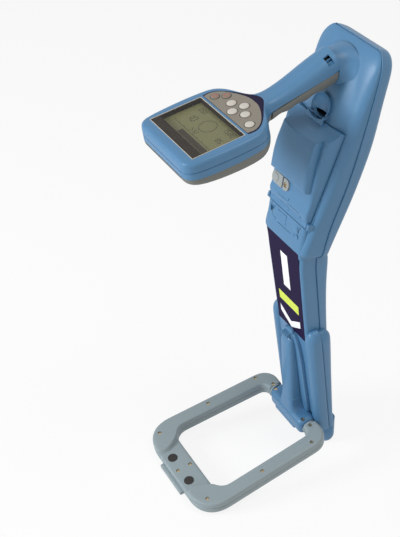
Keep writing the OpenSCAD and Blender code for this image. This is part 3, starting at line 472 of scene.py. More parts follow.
# The collar in sections: share of the way from the housing to the handle, half width and half height
for share, wide, tall in (
    (-0.1, 36, 30), (0.08, 32, 28.8), (0.16, 29.4, 27.8), (0.26, 26.8, 26.6), (0.38, 24.2, 25.2),
    (0.55, 21.6, 23.8), (0.75, 20, 22.7), (0.92, 19.2, 22.1), (1, 19, 22),
):
    middle = collar_foot.lerp(collar_end, share)
    turn = Matrix.Rotation(-tilt * (1 - max(share, 0)), 3, "X")
    collar_rings.append([middle + turn @ Vector((wide * x, 0, tall * y)) for x, y in circle(1, 24)])
collar_rings.append([point.lerp(collar_end, 0.2) for point in collar_rings[-1]])


def joined(node):
    """A copy of a CAD node's mesh with its loose triangles joined, still in the frame's metres."""
    bm = from_mesh(frame["nodes"][node].data)
    bmesh.ops.remove_doubles(bm, verts=bm.verts, dist=1e-6)
    return bm


def islands(node):
    """The middle of each separate solid of a CAD node, in upright millimetres."""
    bm = moved(joined(node), upright.inverted())
    waiting, middles = set(bm.verts), []
    while waiting:
        found, edge = set(), [waiting.pop()]
        while edge:
            vert = edge.pop()
            found.add(vert)
            near = {e.other_vert(vert) for e in vert.link_edges} & waiting
            waiting -= near
            edge += near
        ends = [(min(v.co[k] for v in found), max(v.co[k] for v in found)) for k in range(3)]
        middles.append(Vector([(low + high) / 2 for low, high in ends]))
    bm.free()
    return sorted(middles, key=tuple)


def seats(mesh, points, axis):
    """Places on a mesh's outer face, straight out from each point along an axis, with z outwards."""
    skin = BVHTree.FromPolygons([v.co for v in mesh.vertices], [f.vertices for f in mesh.polygons])
    turn = axis.to_track_quat("Z", "Y").to_matrix().to_4x4()
    return [Matrix.Translation(skin.ray_cast(point + 200 * axis, -axis)[0]) @ turn for point in points]


def screw_holes(places, radius=2.9):
    """One cutter for the holes of a group of screws, at places whose z looks outwards."""
    holes = bmesh.new()
    for place in places:
        cylinder(holes, radius, 6, place, 24)
    return holes


def screw_heads(places, radius=2.4, sink=1.5, thick=3):
    """The heads of a group of screws, sunk below their places, each with a six-sided socket."""
    heads = []
    for place in places:
        head = cylinder(bmesh.new(), radius, thick, place @ Matrix.Translation((0, 0, -sink - thick / 2)), 24)
        socket = cylinder(bmesh.new(), radius * 0.42, 3.4, place, 6)
        heads.append(shaped(head, cuts=[socket]))
    return heads


blue = moulded("blue plastic", (79, 125, 164), 0.4)
brass = metal("brass", (178, 160, 126), 0.36)
rear_wall = shaped(rear_skin, 2, shell_wall)
straight_back, leaning_back = Vector((0, 1, 0)), leaning.to_3x3() @ Vector((0, 1, 0))
rear_places = []
for middle in islands("shell_screws"):
    rear_places += seats(rear_wall, [middle], straight_back if middle.z < bend_z else leaning_back)
piece("shell_screw_heads", screw_heads(rear_places, 3, 1.2), ["shell_screws"], brass)
front_meshes = [
    shaped(front_skin, 2, shell_wall, openings),
    shaped(capped(panel_rings), cuts=panel_cuts),
    shaped(moved(bowl, leaning), wall=-1.2, cuts=[moved(catch_gap, leaning)]),
    shaped(moved(bay, leaning), wall=-2),
    shaped(capped(collar_rings, (False, False)), 2),
]
front_meshes += [shaped(moved(bump, leaning)) for bump in pips_and_ears]
front_meshes += [boot(side, -1, -14.5, 11, 11, 253) for side in (-1, 1)]
piece("front_shell_moulding", front_meshes, ["front_shell"], blue)
rear_meshes = [shaped(from_mesh(rear_wall), cuts=[screw_holes(rear_places, 3.2)])]
rear_meshes += [boot(side, 1, -1, 4.2, 15, 248) for side in (-1, 1)]
piece("rear_shell_moulding", rear_meshes, ["rear_shell"], blue)

# Shell seal: a square cord of black rubber, laid in the parting of the two shells and pinched
# between them, so that only a dark line of it is seen.
rubber = moulded("black rubber", (42, 39, 38), 0.7)
cord = ((0.8, -0.8), (0.8, 0.8), (1.8, 0.8), (1.8, -0.8))
seal_runs = []
for side in (-1, 1):
    runs = [
        [place @ Vector((side * (half - deep), part + off, 0)) for deep, off in cord]
        for place, half, front, crown, rear, part, *_ in stations
    ]
    seal_runs.append(shaped(capped(runs)))
piece("shell_seal_cord", seal_runs, ["shell_seal"], rubber)

# Toe cap: an end cap moulded in the body's blue plastic, with rounded corners. It is pushed into
# the blade's end, takes the wear of the ground and has the frame's own shape.
frame_place = Matrix.Identity(4)
piece("toe_cap_moulding", [shaped(joined("toe_cap"))], ["toe_cap"], blue, place=frame_place)

# Label: a printed polyester film in a shallow recess of the blade's front, in deep purple with a
# plain white bar, a lime strip and a white arrow head.
label_face, label_thick = -22.2, 0.5
ink_face, ink_thick = -22.3, 0.12


def film(points, face, thick):
    """A thin film over an outline (x, z)."""
    return shaped(prism(points, face, face + thick))


purple = moulded("purple film", (34, 24, 58), 0.6, grain=500, depth=0.00004, specular=0.05)
white_ink = moulded("white ink", (244, 243, 243), 0.45, grain=500, depth=0.00004, cloud=0.01)
lime_ink = moulded("lime ink", (208, 222, 72), 0.45, grain=500, depth=0.00004, cloud=0.02)
label_edge = mirrored([(32.2, 232.2), (35.9, 396.6)])
piece("label_film", [film(label_edge, label_face, label_thick)], ["label_plate"], purple)
bar = mirrored([(7.8, 312), (7.8, 374)])
strip = mirrored([(23.2, 276.5), (23.4, 292.5)])
arrow_right = [(0, 235.4), (23.8, 251.2), (23.8, 263.8), (0, 247.2)]
arrow_left = [(-x, z) for x, z in arrow_right[::-1]]
for name, outlines, paint in (
    ("label_bar", [bar], white_ink),
    ("label_strip", [strip], lime_ink),
    ("label_arrow", [arrow_right, arrow_left], white_ink),
):
    piece(name, [film(outline, ink_face, ink_thick) for outline in outlines], [], paint)

# Battery door: a hollow moulding in two tiers, hinged at its lower edge, with a finger hollow at
# its upper edge, a raised second tier and fine moulded lines on its lower panel.
on_housing = upright @ leaning
tier_low, tier_top = 77.4, 140
door_foot, door_lip, door_back, door_wall = 31.5, 4.9, -21, 2.2
flat_top = door_low + 4


def reach(value, start, end):
    """How far a value has come from a start to an end, from 0 to 1."""
    return min(max((value - start) / (end - start), 0), 1)


def tier_share(z):
    """The second tier's part of the door's width, which narrows upwards."""
    return 0.89 - 0.125 * reach(z, tier_low, tier_top)


def fall(inside, radius):
    """How far a rounded edge has fallen away at a distance inside it."""
    return radius * (1 - math.sqrt(1 - (1 - reach(inside, 0, radius)) ** 2))


def door_front(share, z):
    """The depth of the door's face: two tiers, and a cove above the second one for the fingers."""
    half = door_half(z)
    rise = math.sin(reach(z, flat_top, flat_top + 113) * math.pi / 2)
    swell = 2.6 * math.sin(reach(z, flat_top, flat_top + 20) * math.pi)
    front = 28.2 + 14.3 * rise ** 0.85 + swell - fall(half - abs(share) * half, 3 + 2.5 * rise)
    inside = min((tier_share(z) - abs(share)) * half, z - tier_low)
    if inside >= -0.01:
        second = 45.6 + 6.8 * math.sin(reach(z, tier_low, tier_low + 45) * math.pi / 2) - max(0, z - 125) / 20
        second -= max(fall(inside, 2.8), fall(tier_top - z, 1.2))
        front = max(front, second)
    if z > tier_top:
        front = min(front, 30.4 + 21.2 * (1 - reach(z, tier_top, door_top)) ** 1.7)
    return -front


def sag(share, z):
    """How much higher the second tier's upper edge is at its ends than in its middle."""
    return 2.8 * min(abs(share) / tier_share(z), 1) ** 2 * max(0, 1 - abs(z - tier_top) / 20)


def door_columns(z):
    """Places across the door as shares of its half width, close together along the second tier's edge."""
    on_tier = [0, 0.15, 0.3, 0.45, 0.6, 0.72, 0.82, 0.89, 0.93, 0.96, 0.98, 0.994, 1]
    on_ledge = [0.04, 0.12, 0.25, 0.4, 0.55, 0.7, 0.82, 0.91, 0.97, 1]
    edge = tier_share(z)
    right = [edge * u for u in on_tier] + [edge + (1 - edge) * v for v in on_ledge]
    return [-s for s in right[:0:-1]] + right


# Heights of the door's rows, close together where an edge of the second tier or the cove turns
door_heights = [door_low, 35, flat_top, 40, 44, 48, 56, 64, 70, 74, 76.4, 77.2]
door_heights += [tier_low, 77.7, 78.4, 79.4, 80.8, 84, 90, 97, 105, 113, 121, 129, 135, 138.4, 139.2, 139.7]
door_heights += [tier_top, 140.5, 141.2, 142.2, 143.6, 145.4, 147.6, 150, 152.6, 155.4, 158.2, door_top]
hollow_heights = [40, 48, 56, 64, 72, 76, 81, 95, 112, 130, 138]


def door_body(heights, inset, back):
    """The door's closed form, or with an inset the hollow behind its skin."""
    rows = []
    if not inset:
        for angle in map(math.radians, (37.8, 15, -10, -40, -65)):
            y, z = hinge_y + door_lip * math.sin(angle), hinge_z - door_lip * math.cos(angle)
            rows.append([(s * door_half_low, y, z) for s in door_columns(door_low)])
    for z in heights:
        half = door_half(z) - inset
        rows.append([(s * half, door_front(s, z) + inset, z + sag(s, z)) for s in door_columns(z)])
    for place, row in enumerate(rows):
        low = max(row[0][2], door_foot)
        rows[place] = [(row[0][0], back, low), *row, (row[-1][0], back, low)]
    ends = [rows[-1]] if not inset else [rows[-1], rows[0]]
    closing = [[(x, back, row[0][2]) for x, y, z in row] for row in ends]
    rows = closing[1:] + rows + closing[:1]
    bm = bmesh.new()
    loft(bm, [[Vector(p) for p in row] for row in rows])
    bmesh.ops.remove_doubles(bm, verts=bm.verts, dist=1e-4)
    bmesh.ops.edgeloop_fill(bm, edges=[e for e in bm.edges if e.is_boundary])
    bmesh.ops.recalc_face_normals(bm, faces=bm.faces)
    return bm


flap_z = 65
flap_lean = math.atan2(door_front(0.5, flap_z - 10) - door_front(0.5, flap_z + 10), 20)
on_door = Matrix.Translation((0, door_front(0.5, flap_z), flap_z)) @ Matrix.Rotation(flap_lean, 4, "X")
facing_out = Matrix.Rotation(math.pi / 2, 4, "X")
socket_hole = cylinder(bmesh.new(), 4.8, 30, on_door @ Matrix.Translation((-27.5, 0, 0)) @ facing_out, 32)
door_cuts = [door_body(hollow_heights, door_wall, door_back + 1), socket_hole]
door_cuts += [
    line_cut(-20, 0.5, 46.6, 47.4, -door_front(0.2, 47)),
    line_cut(6, 26, 43.6, 44.4, -door_front(0.3, 44)),
    line_cut(-18, 0.5, 38.3, 39.1, -door_front(0.2, 39)),
    line_cut(28, 30, 39, 41, -door_front(0.7, 40), 2),
]
for low, high in ((48, 51.5), (41.4, 45), (36, 39.6), (33.6, 35)):
    door_cuts.append(line_cut(1.6, 2.5, low, high, -door_front(0, (low + high) / 2)))
door_mesh = shaped(door_body(door_heights, 0, door_back), cuts=door_cuts)
piece("battery_door_moulding", [door_mesh], ["battery_door"], blue, "door", on_housing)

# Dust flap: a pale rubber moulding over the accessory socket. Its base is screwed to the door, and
# the cover swings on a thin crease moulded between the two.
at_flap = on_housing @ on_door
flap_rubber = moulded("flap rubber", (150, 154, 154), 0.6)
base_face = -2.6


def soft_plate(points, y0, y1, soft):
    """A plate over an outline (x, z) with its front rim rounded."""
    bm = prism(points, y0, y1)
    return rounded(bm, [e for e in bm.edges if all(v.co.y < y0 + 0.01 for v in e.verts)], soft)


cover_edge = [(-16.2, -8.4), (-16.2, 8.4)] + arc(-32, 1.4, 7, 90, 180) + arc(-32, -1.4, 7, 180, 270)
base_edge = [(-13.7, 8.2), (-13.7, -8.2)] + arc(-9, -1.4, 6.8, -90, 0) + arc(-9, 1.4, 6.8, 0, 90)
boss_edge = arc(-30.6, 0.4, 6.2, 0, 345, 23)
flap_meshes = [shaped(soft_plate(cover_edge, -2.4, 0.4, 0.8)), shaped(soft_plate(boss_edge, -3.2, -2, 0.4))]
piece("dust_flap_moulding", flap_meshes, ["dust_flap"], flap_rubber, "flap", at_flap)
flap_screw = [Matrix.Translation((-8.8, base_face, 0)) @ facing_out]
flap_base = shaped(soft_plate(base_edge, base_face, 0.4, 0.8), cuts=[screw_holes(flap_screw, 3.6)])
piece("flap_base_moulding", [flap_base], ["flap_base"], flap_rubber, "door", at_flap)
piece("flap_screw_head", screw_heads(flap_screw, 3, 0.8), ["flap_screw"], brass, "door", at_flap)

# Catch: a thin slide of blue plastic in the door's upper edge, hollowed for a thumb below the
# scoop, with two hooks behind it that hold under the front shell.
catch_half, catch_low, catch_top = 16, 158.3, 167.4
catch_edge = [(-catch_half, catch_low), (catch_half, catch_low), (catch_half, catch_top)]
catch_edge += arc(0, 186, 24.6, -58, -122, 8) + [(-catch_half, catch_top)]
catch_meshes = [shaped(soft_plate(catch_edge, -36.4, -34.3, 0.7))]
for side in (-1, 1):
    hook = block(*sorted((side * 12.8, side * catch_half)), -34.8, -28.5, 165.2, catch_top, 0.5, 2)
    catch_meshes.append(shaped(hook))
piece("door_catch_moulding", catch_meshes, ["door_catch"], blue, "catch", on_housing)

# Display head and handle: the upper moulding is one blue piece from the collar to the front of the
# head; the lower half is grey, a grip with finger waves under the handle and a dished base under the
# head. A rubber cord lies between them, and screws hold the base from below.
# Stations: depth, half width, parting height, top, corner across and corner down
head_stations = [
    (66.3, 19, 620.3, 641.6, 14, 16), (50, 18.6, 617.4, 636.8, 12.6, 13.5), (32, 17.8, 614, 631.4, 11.4, 12),
    (14, 17, 610.8, 625, 10.4, 11), (-4, 16.4, 608, 620, 9.4, 10), (-18, 16, 605.6, 617.5, 8.6, 9),
    (-27, 16.2, 602.6, 617.2, 8, 8), (-32, 18.2, 601, 617.1, 7.5, 7.4), (-37, 23.6, 599.6, 617.1, 7, 7),
    (-42, 33, 598.4, 617.1, 6, 6), (-47, 44, 597.6, 617.1, 5.5, 5.5), (-53, 52, 597, 617.1, 5, 5),
    (-60, 57.6, 596.6, 617.1, 5, 5), (-68, 60, 596, 617.1, 5, 5), (-88, 61.3, 595, 617.1, 5, 5),
    (-110, 61.3, 594.6, 617.1, 5, 5), (-132, 60.2, 594.6, 617.1, 5, 5), (-145, 58.8, 594.7, 617.1, 5, 5),
    (-152, 57, 594.9, 617.1, 5, 5), (-156.8, 54.2, 595.2, 617, 5, 5), (-159.6, 50.8, 595.5, 616, 5, 5),
    (-161.2, 47, 595.8, 613.8, 4.6, 4.6), (-162, 43, 596, 610.6, 4.2, 4.2),
]
quarter = [k * math.pi / 16 for k in range(9)]


def upper_chain(y, half, part, top, across, down):
    low = part + seam_gap
    right = [(half, low), (half, low + 0.5 * (top - down - low))]
    right += [(half - across * (1 - math.cos(a)), top - down * (1 - math.sin(a))) for a in quarter]
    right += [((half - across) * k / 4, top) for k in (3, 2, 1, 0)]
    return [Vector((x, y, z)) for x, z in to_middle(right)]


def head_spine(point):
    """The middle of the head and handle at a point's depth."""
    return Vector((0, max(point.y, -150), 601 if point.y < -30 else 603 + (point.y + 30) * 0.17))


def washer(inner, outer, low, top):
    """A flat ring between two outlines (x, y) and two heights."""
    bm = bmesh.new()
    turns = ((inner, low), (inner, top), (outer, top), (outer, low), (inner, low))
    loft(bm, [[Vector((x, y, z)) for x, y in outline] for outline, z in turns], closed=True)
    bmesh.ops.remove_doubles(bm, verts=bm.verts, dist=1e-4)
    bmesh.ops.recalc_face_normals(bm, faces=bm.faces)
    return bm


def about_head(x, y, share):
    """A point drawn in towards the head's middle, or out from it."""
    return x * share, -100 + (y + 100) * share


nose_z = 596.4
nose_row = [Vector((p.x, -162.2, nose_z + (p.z - nose_z) * 0.04)) for p in upper_chain(*head_stations[-1])]
upper_skin = open_skin([upper_chain(*station) for station in head_stations] + [nose_row], head_spine)
groove_right = [(half - 0.8, y) for y, half, *_ in head_stations if y < -34]
groove_right[-1] = (groove_right[-1][0], -161.4)
groove_in = mirrored(groove_right)
groove = washer(groove_in, [about_head(x, y, 1.3) for x, y in groove_in], 603.6, 604.6)
lens_x, lens_front, lens_rear = 49, -148, -81
lens_cut = block(-lens_x, lens_x, lens_front, lens_rear, 590, 640)
rounded(lens_cut, [e for e in lens_cut.edges if abs(e.verts[0].co.z - e.verts[1].co.z) > 1], 1.5)
on_grip = Matrix.Translation(grip_start) @ Matrix.Rotation(math.radians(10.5), 4, "X")
notch = moved(block(6.5, 18, -9.5, -1.5, 13, 30), on_grip)
upper_meshes = [shaped(upper_skin, 1, shell_wall, [lens_cut, groove, notch])]
upper_meshes.append(shaped(moved(block(6, 16, -10, -1, 8, 13.9), on_grip)))
for x, top in ((9.4, 17.4), (13.2, 15.4)):
    rib = block(x - 0.8, x + 0.8, -9.7, -1.3, 9, top, 0.3, 2)
    upper_meshes.append(shaped(moved(rib, on_grip)))
piece("head_and_handle_moulding", upper_meshes, ["head_shell"], blue)
grey = moulded("grey plastic", (114, 115, 110), 0.55)
# The base under the head's stations: how much wider it is, its floor and how far that is drawn in
base_sections = [
    (0, 588, 14), (0.1, 586.5, 13), (0.6, 585.5, 12), (1.2, 585, 11), (1.2, 584, 10), (0.7, 582.4, 9),
    (-0.3, 580.4, 8.5), (-0.3, 579, 8), (-0.3, 578.6, 8), (-0.3, 579.2, 8), (-0.3, 580.6, 8),
    (-0.3, 582.4, 8.5), (-0.3, 584, 9), (-0.3, 586, 9), (-0.3, 588.6, 8), (-0.3, 591.6, 6), (-0.3, 594.4, 4),
]
under_head = [station[:3] for station in head_stations if station[0] < -26]


def base_chain(y, half, part, floor, inset):
    low = part - seam_gap
    right = [(half - inset * (1 - math.cos(a)), low + (floor - low) * math.sin(a)) for a in quarter]
    right += [((half - inset) * k / 4, floor) for k in (3, 2, 1, 0)]
    return [Vector((x, y, z)) for x, z in to_middle(right)]


base_chains = [
    base_chain(y, half + wider, part, floor, inset)
    for (y, half, part), (wider, floor, inset) in zip(under_head, base_sections)
]
base_wall = shaped(open_skin(base_chains, head_spine), 1, shell_wall)
base_places = seats(base_wall, islands("head_screws"), Vector((0, 0, -1)))
piece("head_screw_heads", screw_heads(base_places, 2.8, 1), ["head_screws"], brass)
base_mesh = shaped(from_mesh(base_wall), cuts=[screw_holes(base_places, 3)])
piece("head_base_moulding", [base_mesh], ["head_base"], grey)
rim = [(half, y, part) for y, half, part in under_head]
rim += [(-x, y, z) for x, y, z in rim[::-1]]
seal_section = ((0.985, -0.6), (0.985, 0.6), (0.965, 0.6), (0.965, -0.6))
seal_rings = [[Vector((*about_head(x, y, share), z + off)) for share, off in seal_section] for x, y, z in rim]
piece("head_seal_cord", [shaped(capped(seal_rings))], ["head_seal"], rubber)


def grip_chain(y):
    """The grip's under side at a depth: a half round that ends in the neck, with three finger waves."""
    along = (65.4 - y) / 92.4
    half = 19 - 2.9 * along
    part = 620.3 - 17.7 * along - seam_gap
    wave = 1.2 * math.cos((y - 36) / 24 * math.tau) * ease((60 - y) / 8)
    drop = 23.2 - 7.6 * along - wave
    angles = [k * math.pi / 28 for k in range(29)]
    return [Vector((half * math.cos(a), y, part - drop * math.sin(a))) for a in angles]


grip_skin = open_skin([grip_chain(65.2 - 2 * k) for k in range(46)], head_spine)
piece("grip_moulding", [shaped(grip_skin, 1, shell_wall)], ["grip"], grey)

# Display: a brown-black tray sunk in the head's top, a reflective liquid-crystal panel on its floor
# and a clear pane over both, edged by a thin pale rim that is a painted highlight of the lens edge.
tray_low, tray_floor, tray_top = 609.4, 610.8, 616.9
tray_x, hollow_x = lens_x - 0.1, 47.5
strip_rear = -135.6
bezel_brown = moulded("bezel brown", (40, 33, 26), 0.5, grain=400, depth=0.00002, cloud=0.03, specular=0.06)
tray = block(-tray_x, tray_x, lens_front + 0.1, lens_rear - 0.1, tray_low, tray_top)
tray_hollow = block(-hollow_x, hollow_x, strip_rear, lens_rear - 1.5, tray_floor, 630)
piece("display_bezel_tray", [shaped(tray, cuts=[tray_hollow])], ["display_bezel"], bezel_brown)
# The pale rim is painted highlight: a light strip round all four edges of the pane stands in for light caught
# on the lens edge.
rim_half = 0.4
painted_highlight_rim_meshes = []
for x0, x1, y0, y1 in (
    (-lens_x - rim_half, lens_x + rim_half, lens_front - rim_half, lens_front + rim_half),
    (-lens_x - rim_half, lens_x + rim_half, lens_rear - rim_half, lens_rear + rim_half),
    (-lens_x - rim_half, rim_half - lens_x, lens_front, lens_rear),
    (lens_x - rim_half, lens_x + rim_half, lens_front, lens_rear),
):
    painted_highlight_rim_meshes.append(shaped(block(x0, x1, y0, y1, 616, 617.5, 0.25, 2)))
painted_highlight_rim = moulded("lens rim painted highlight", (196, 190, 178), 0.35, grain=400, depth=0.00002)
piece("display_rim_painted_highlight", painted_highlight_rim_meshes, [], painted_highlight_rim)
crystal = moulded("liquid crystal", (112, 111, 76), 0.4, grain=300, depth=0.00001, cloud=0.04, specular=0.2)
ink = moulded("crystal segment", (56, 50, 36), 0.45, grain=300, depth=0.00001, cloud=0.02, specular=0.2)
mark_low, mark_top = 611.2, 611.3
crystal_block = block(0.1 - hollow_x, hollow_x - 0.1, strip_rear + 0.2, lens_rear - 1.6, 610.4, mark_low)
piece("display_panel", [shaped(crystal_block)], ["display_module"], crystal)
scale_y, scale_x = -121.6, -39.4
marks = [block(-16, 46, -131.6, -124.6, mark_low, mark_top)]
marks.append(block(scale_x - 0.2, 46, scale_y - 0.5, scale_y, mark_low, mark_top))
for k in range(9):
    x = scale_x + k * 10
    marks.append(block(x - 0.25, x + 0.25, scale_y, -120 if k % 2 else -119.2, mark_low, mark_top))
# Ends of the seven bars of a figure, as shares of its width and height, and the bars of each figure
segments = {
    "a": (0, 1, 1, 1), "b": (1, 1, 1, 0.5), "c": (1, 0.5, 1, 0), "d": (0, 0, 1, 0), "e": (0, 0.5, 0, 0),
    "f": (0, 1, 0, 0.5), "g": (0, 0.5, 1, 0.5),
}
figures = {0: "abcdef", 1: "bc", 2: "abged", 3: "abgcd", 5: "afgcd", 8: "abcdefg"}


def figure(value, x, y, tall):
    """The bars of one seven-segment figure whose lower left corner is at x, y."""
    wide, bar = 0.52 * tall, 0.055 * tall
    bars = []
    for letter in figures[value]:
        u0, v0, u1, v1 = segments[letter]
        x0, x1 = sorted(x + u * wide for u in (u0, u1))
        y0, y1 = sorted(y + v * tall for v in (v0, v1))
        grow_x, grow_y = (-bar, bar) if y1 - y0 < bar else (bar, -bar)
        bars.append(block(x0 - grow_x, x1 + grow_x, y0 - grow_y, y1 + grow_y, mark_low, mark_top))
    return bars


for text, x, y, tall in (
    ((1, 0), -33, -109.6, 9), ((5, 3, 2), -9, -119.2, 5.4), ((1, 5, 8, 0), 17, -92.2, 6.6),
    ((0, 5, 8), -36, -92.4, 5.6), ((8, 5), 28, -108.4, 6),
):
    for place, value in enumerate(text):
        marks += figure(value, x + place * tall * 0.82, y, tall)
compass_y = -100.6
compass = washer(circle(10.3, 48, cy=compass_y), circle(11, 48, cy=compass_y), mark_low, mark_top)
piece("display_marks", [shaped(mark) for mark in marks + [compass]], [], ink)
clear = bpy.data.materials.new("clear window")
clear.use_nodes = True
set_sockets(clear.node_tree.nodes["Principled BSDF"], Roughness=0.08, Alpha=0.02, Specular_IOR_Level=0.1)
pane = block(0.5 - lens_x, lens_x - 0.5, lens_front + 0.5, lens_rear - 0.5, 616.95, 617.3)
piece("display_pane", [shaped(pane)], ["display_window"], clear)

# Keypad: a printed purple film with a beige film over it, and seven domed keys that press through
# both: four large round ones, one beside them and two small beige ones, each in a thin dark ring.


def softened(points, rounds=3):
    """A closed outline with its corners cut again and again until it is smooth."""
    for _ in range(rounds):
        cut = []
        for (x0, y0), (x1, y1) in zip(points, points[1:] + points[:1]):
            cut += [((1 - t) * x0 + t * x1, (1 - t) * y0 + t * y1) for t in (0.25, 0.75)]
        points = cut
    return points


def sheet(points, z0, z1):
    """A level sheet over an outline (x, y)."""
    return shaped(capped([[Vector((x, y, z)) for x, y in points] for z in (z0, z1)]))


purple_right = [(49.6, -77.8), (50.4, -77), (51, -67), (46, -58), (36, -49), (24, -41), (12, -33), (5, -28.4)]
beige_right = [(47.4, -77.4), (48.2, -76.6), (49, -67), (43.6, -57.6)]
beige_right += [(36, -51.4), (25, -44.8), (12, -39.6), (5, -38.6)]
keypad_purple = moulded("keypad purple", (32, 26, 54), 0.5, depth=0.00004, specular=0.08)
keypad_beige = moulded("keypad beige", (132, 125, 114), 0.45, depth=0.00004)
purple_sheet = sheet(softened(mirrored(purple_right)), 616.9, 617.3)
piece("keypad_surround_film", [purple_sheet], ["keypad_surround"], keypad_purple)
beige_sheet = sheet(softened(mirrored(beige_right)), 617.2, 617.5)
piece("keypad_panel_film", [beige_sheet], ["keypad_panel"], keypad_beige)
key_white = moulded("key white", (202, 196, 186), 0.45, depth=0.00004, cloud=0.02)
key_dark = moulded("key ring", (58, 52, 50), 0.5, depth=0.00004)
key_red = moulded("key red", (178, 92, 80), 0.5, depth=0.00004)
key_low, key_top = 614, 618.6


def dome(x, y, radius):
    """One key with a rounded edge and a slightly domed top."""
    rows = [(radius, key_low), (radius, key_top - 0.9), (radius - 0.15, key_top - 0.5)]
    rows += [(radius - 0.6, key_top - 0.2), (radius * 0.7, key_top - 0.02)]
    return shaped(capped([[Vector((*point, z)) for point in circle(r, 40, x, y)] for r, z in rows]))


def band(x, y, outer, inner, low, top):
    """A thin ring round a key or on it."""
    return shaped(washer(circle(inner, 40, x, y), circle(outer, 40, x, y), low, top))


keys = {
    "key_light": (-38, -68, 5.1), "key_sound": (-30, -57, 5.1), "key_left": (-13.5, -60.5, 5.8),
    "key_up": (1.5, -52.5, 5.8), "key_down": (1.5, -68.5, 5.8), "key_right": (16.5, -60.5, 5.8),
    "key_power": (36, -67, 5.6),
}
for name, (x, y, radius) in keys.items():
    small = radius < 5.5
    material = keypad_beige if small else key_white
    piece(name + "_dome", [dome(x, y, radius)], [name], material, name + "_cap")
    if small:
        mark = band(x, y, 3.4, 2.5, key_top - 0.1, key_top + 0.15)
        piece(name + "_mark", [mark], [], key_red, name + "_cap")
key_rings = [band(x, y, radius + 0.9, radius + 0.15, 617.3, 617.62) for x, y, radius in keys.values()]
piece("keypad_rings", key_rings, [], key_dark)

# Foot bracket: a blue moulding screwed to the blade's front, with a wedge column, a web that
# spreads to the hinge barrel, and a ribbed push button at its top.


def squarish(share, power):
    """A circle's sine or cosine drawn out towards a square."""
    return math.copysign(abs(share) ** (2 / power), share)


def tower(sections, back=-22.2, power=4):
    """A skin through level sections (height, half width, front) against a flat back."""
    rings = []
    for z, half, front in sections:
        middle, deep = (front + back) / 2, (back - front) / 2
        ring = [(half * squarish(x, power), middle + deep * squarish(y, power)) for x, y in circle(1, 24)]
        rings.append([Vector((x, y, z)) for x, y in ring])
    return shaped(capped(rings), 2)


plate_right = [(27.8, 80), (27.4, 105), (23.9, 184), (21.6, 203)]
plate_right += [(19.2, 215), (16, 225), (11.5, 230.4), (5, 232)]
plate = soft_plate(mirrored(plate_right), -27.6, -22.1, 1.6)
barrel_top = 14.2
barrel_y, barrel_z = loop_axis.y, loop_axis.z
barrel = block(-42, 42, barrel_y - 14.4, barrel_y + 14, barrel_z - barrel_top, barrel_z + barrel_top, 8.5, 7)
barrel_places = [Matrix.Translation(loop_axis + Vector((side * 36, -5, barrel_top))) for side in (-1, 1)]
piece("barrel_screw_heads", screw_heads(barrel_places), ["barrel_screws"], brass)
flange = block(-28, 24, barrel_y - 14.8, barrel_y, barrel_z - 14.9, barrel_z - 5, 3, 4)
bracket_places = [
    Matrix.Translation((side * x, -24.6, z)) @ facing_out
    for side in (-1, 1) for x, z in ((21, 102), (17, 196))
]
piece("bracket_screw_heads", screw_heads(bracket_places, sink=0), ["bracket_screws"], brass)
column = [(84, 14, -47.4), (95, 14, -46.8), (130, 13.8, -43.6), (180, 13.4, -39.2), (207, 13, -37.4)]
column += [(216, 12.4, -36.4), (221.4, 10.4, -34.6), (224.4, 7, -31), (225.2, 3, -28)]
hood = [(205, 9.6, -30), (224, 9.6, -30), (230, 9.2, -29.6), (233.6, 7.4, -28), (235, 3.6, -26)]
web = [(70, 30, -49), (78, 24, -48.8), (84, 18.6, -48.2)]
web += [(90, 16, -47.4), (98, 14.6, -46.6), (110, 14, -45.4)]
bracket_meshes = [shaped(plate), shaped(barrel, cuts=[screw_holes(barrel_places)]), shaped(flange)]
bracket_meshes += [tower(column, power=3), tower(hood), tower(web)]
piece("foot_bracket_moulding", bracket_meshes, ["foot_bracket"], blue)
button = block(-7.4, 7.4, -36.4, -27, 226.2, 230.8, 0.8)
grooves = [block(x - 0.6, x + 0.6, -38, -35, 224, 233) for x in (-3.8, 0, 3.8)]
piece("foot_button_cap", [shaped(button, cuts=grooves)], ["foot_button"], blue, "button")

# Loop foot: two grey halves screwed together round the hinge shaft, a U with broad arms, a far bar
# with a low saddle between S-shaped steps, and a thumb lip under its outer edge.
at_loop = upright @ Matrix.Translation(loop_axis)
grey_blue = moulded("loop plastic", (142, 155, 160), 0.5, grain=700)
half_thick, saddle = 10.5, 3.5
far_in_y, far_out_y = -170, -207.4
# The right side from the hinge to the far bar's middle: inner edge, outer edge, top and the top's bow
right_path = [((x, -half_thick), (x, half_thick), half_thick, 0) for x in (45.9, 46.3, 50)]
near_in, near_out = arc(50, -20.5, 10, 80, 0), arc(58, -13.5, 25, 84, 0)
right_path += [(inner, outer, half_thick, 0) for inner, outer in zip(near_in, near_out)]
for share in (0.06, 0.3, 0.62, 0.94):
    inner, outer = (60 + 6 * share, -20.5 - 129.5 * share), (83 + 6 * share, -13.5 - 157.5 * share)
    right_path.append((inner, outer, half_thick, 0))
# At the far corner the outer edge runs ahead of the inner one, so that the step to the saddle slants
far_in = [arc(46, -150, 20, a, a, 1)[0] for a in (0, -12, -24, -36, -47, -55, -60, -65, -71, -77, -84)]
far_out = arc(53, -171.4, 36, 0, -90) + [(x, far_out_y) for x in (46, 43.6, 41.4, 39.2, 36, 31)]
far_top = (half_thick,) * 6 + (10.1, 7.6, 4.8, 3.7, saddle)
far_bow = (0, 0, 1, 3, 5, 7, 7.6, 7.6, 7, 6, 4.4)
right_path += list(zip(far_in, far_out, far_top, far_bow))
right_path += [((x, far_in_y), (x, far_out_y), saddle, x / 12) for x in (24, 12, 0)]
loop_path = list(right_path)
for (inner_x, inner_y), (outer_x, outer_y), top, bowed in right_path[-2::-1]:
    loop_path.append(((-inner_x, inner_y), (-outer_x, outer_y), top, -bowed))


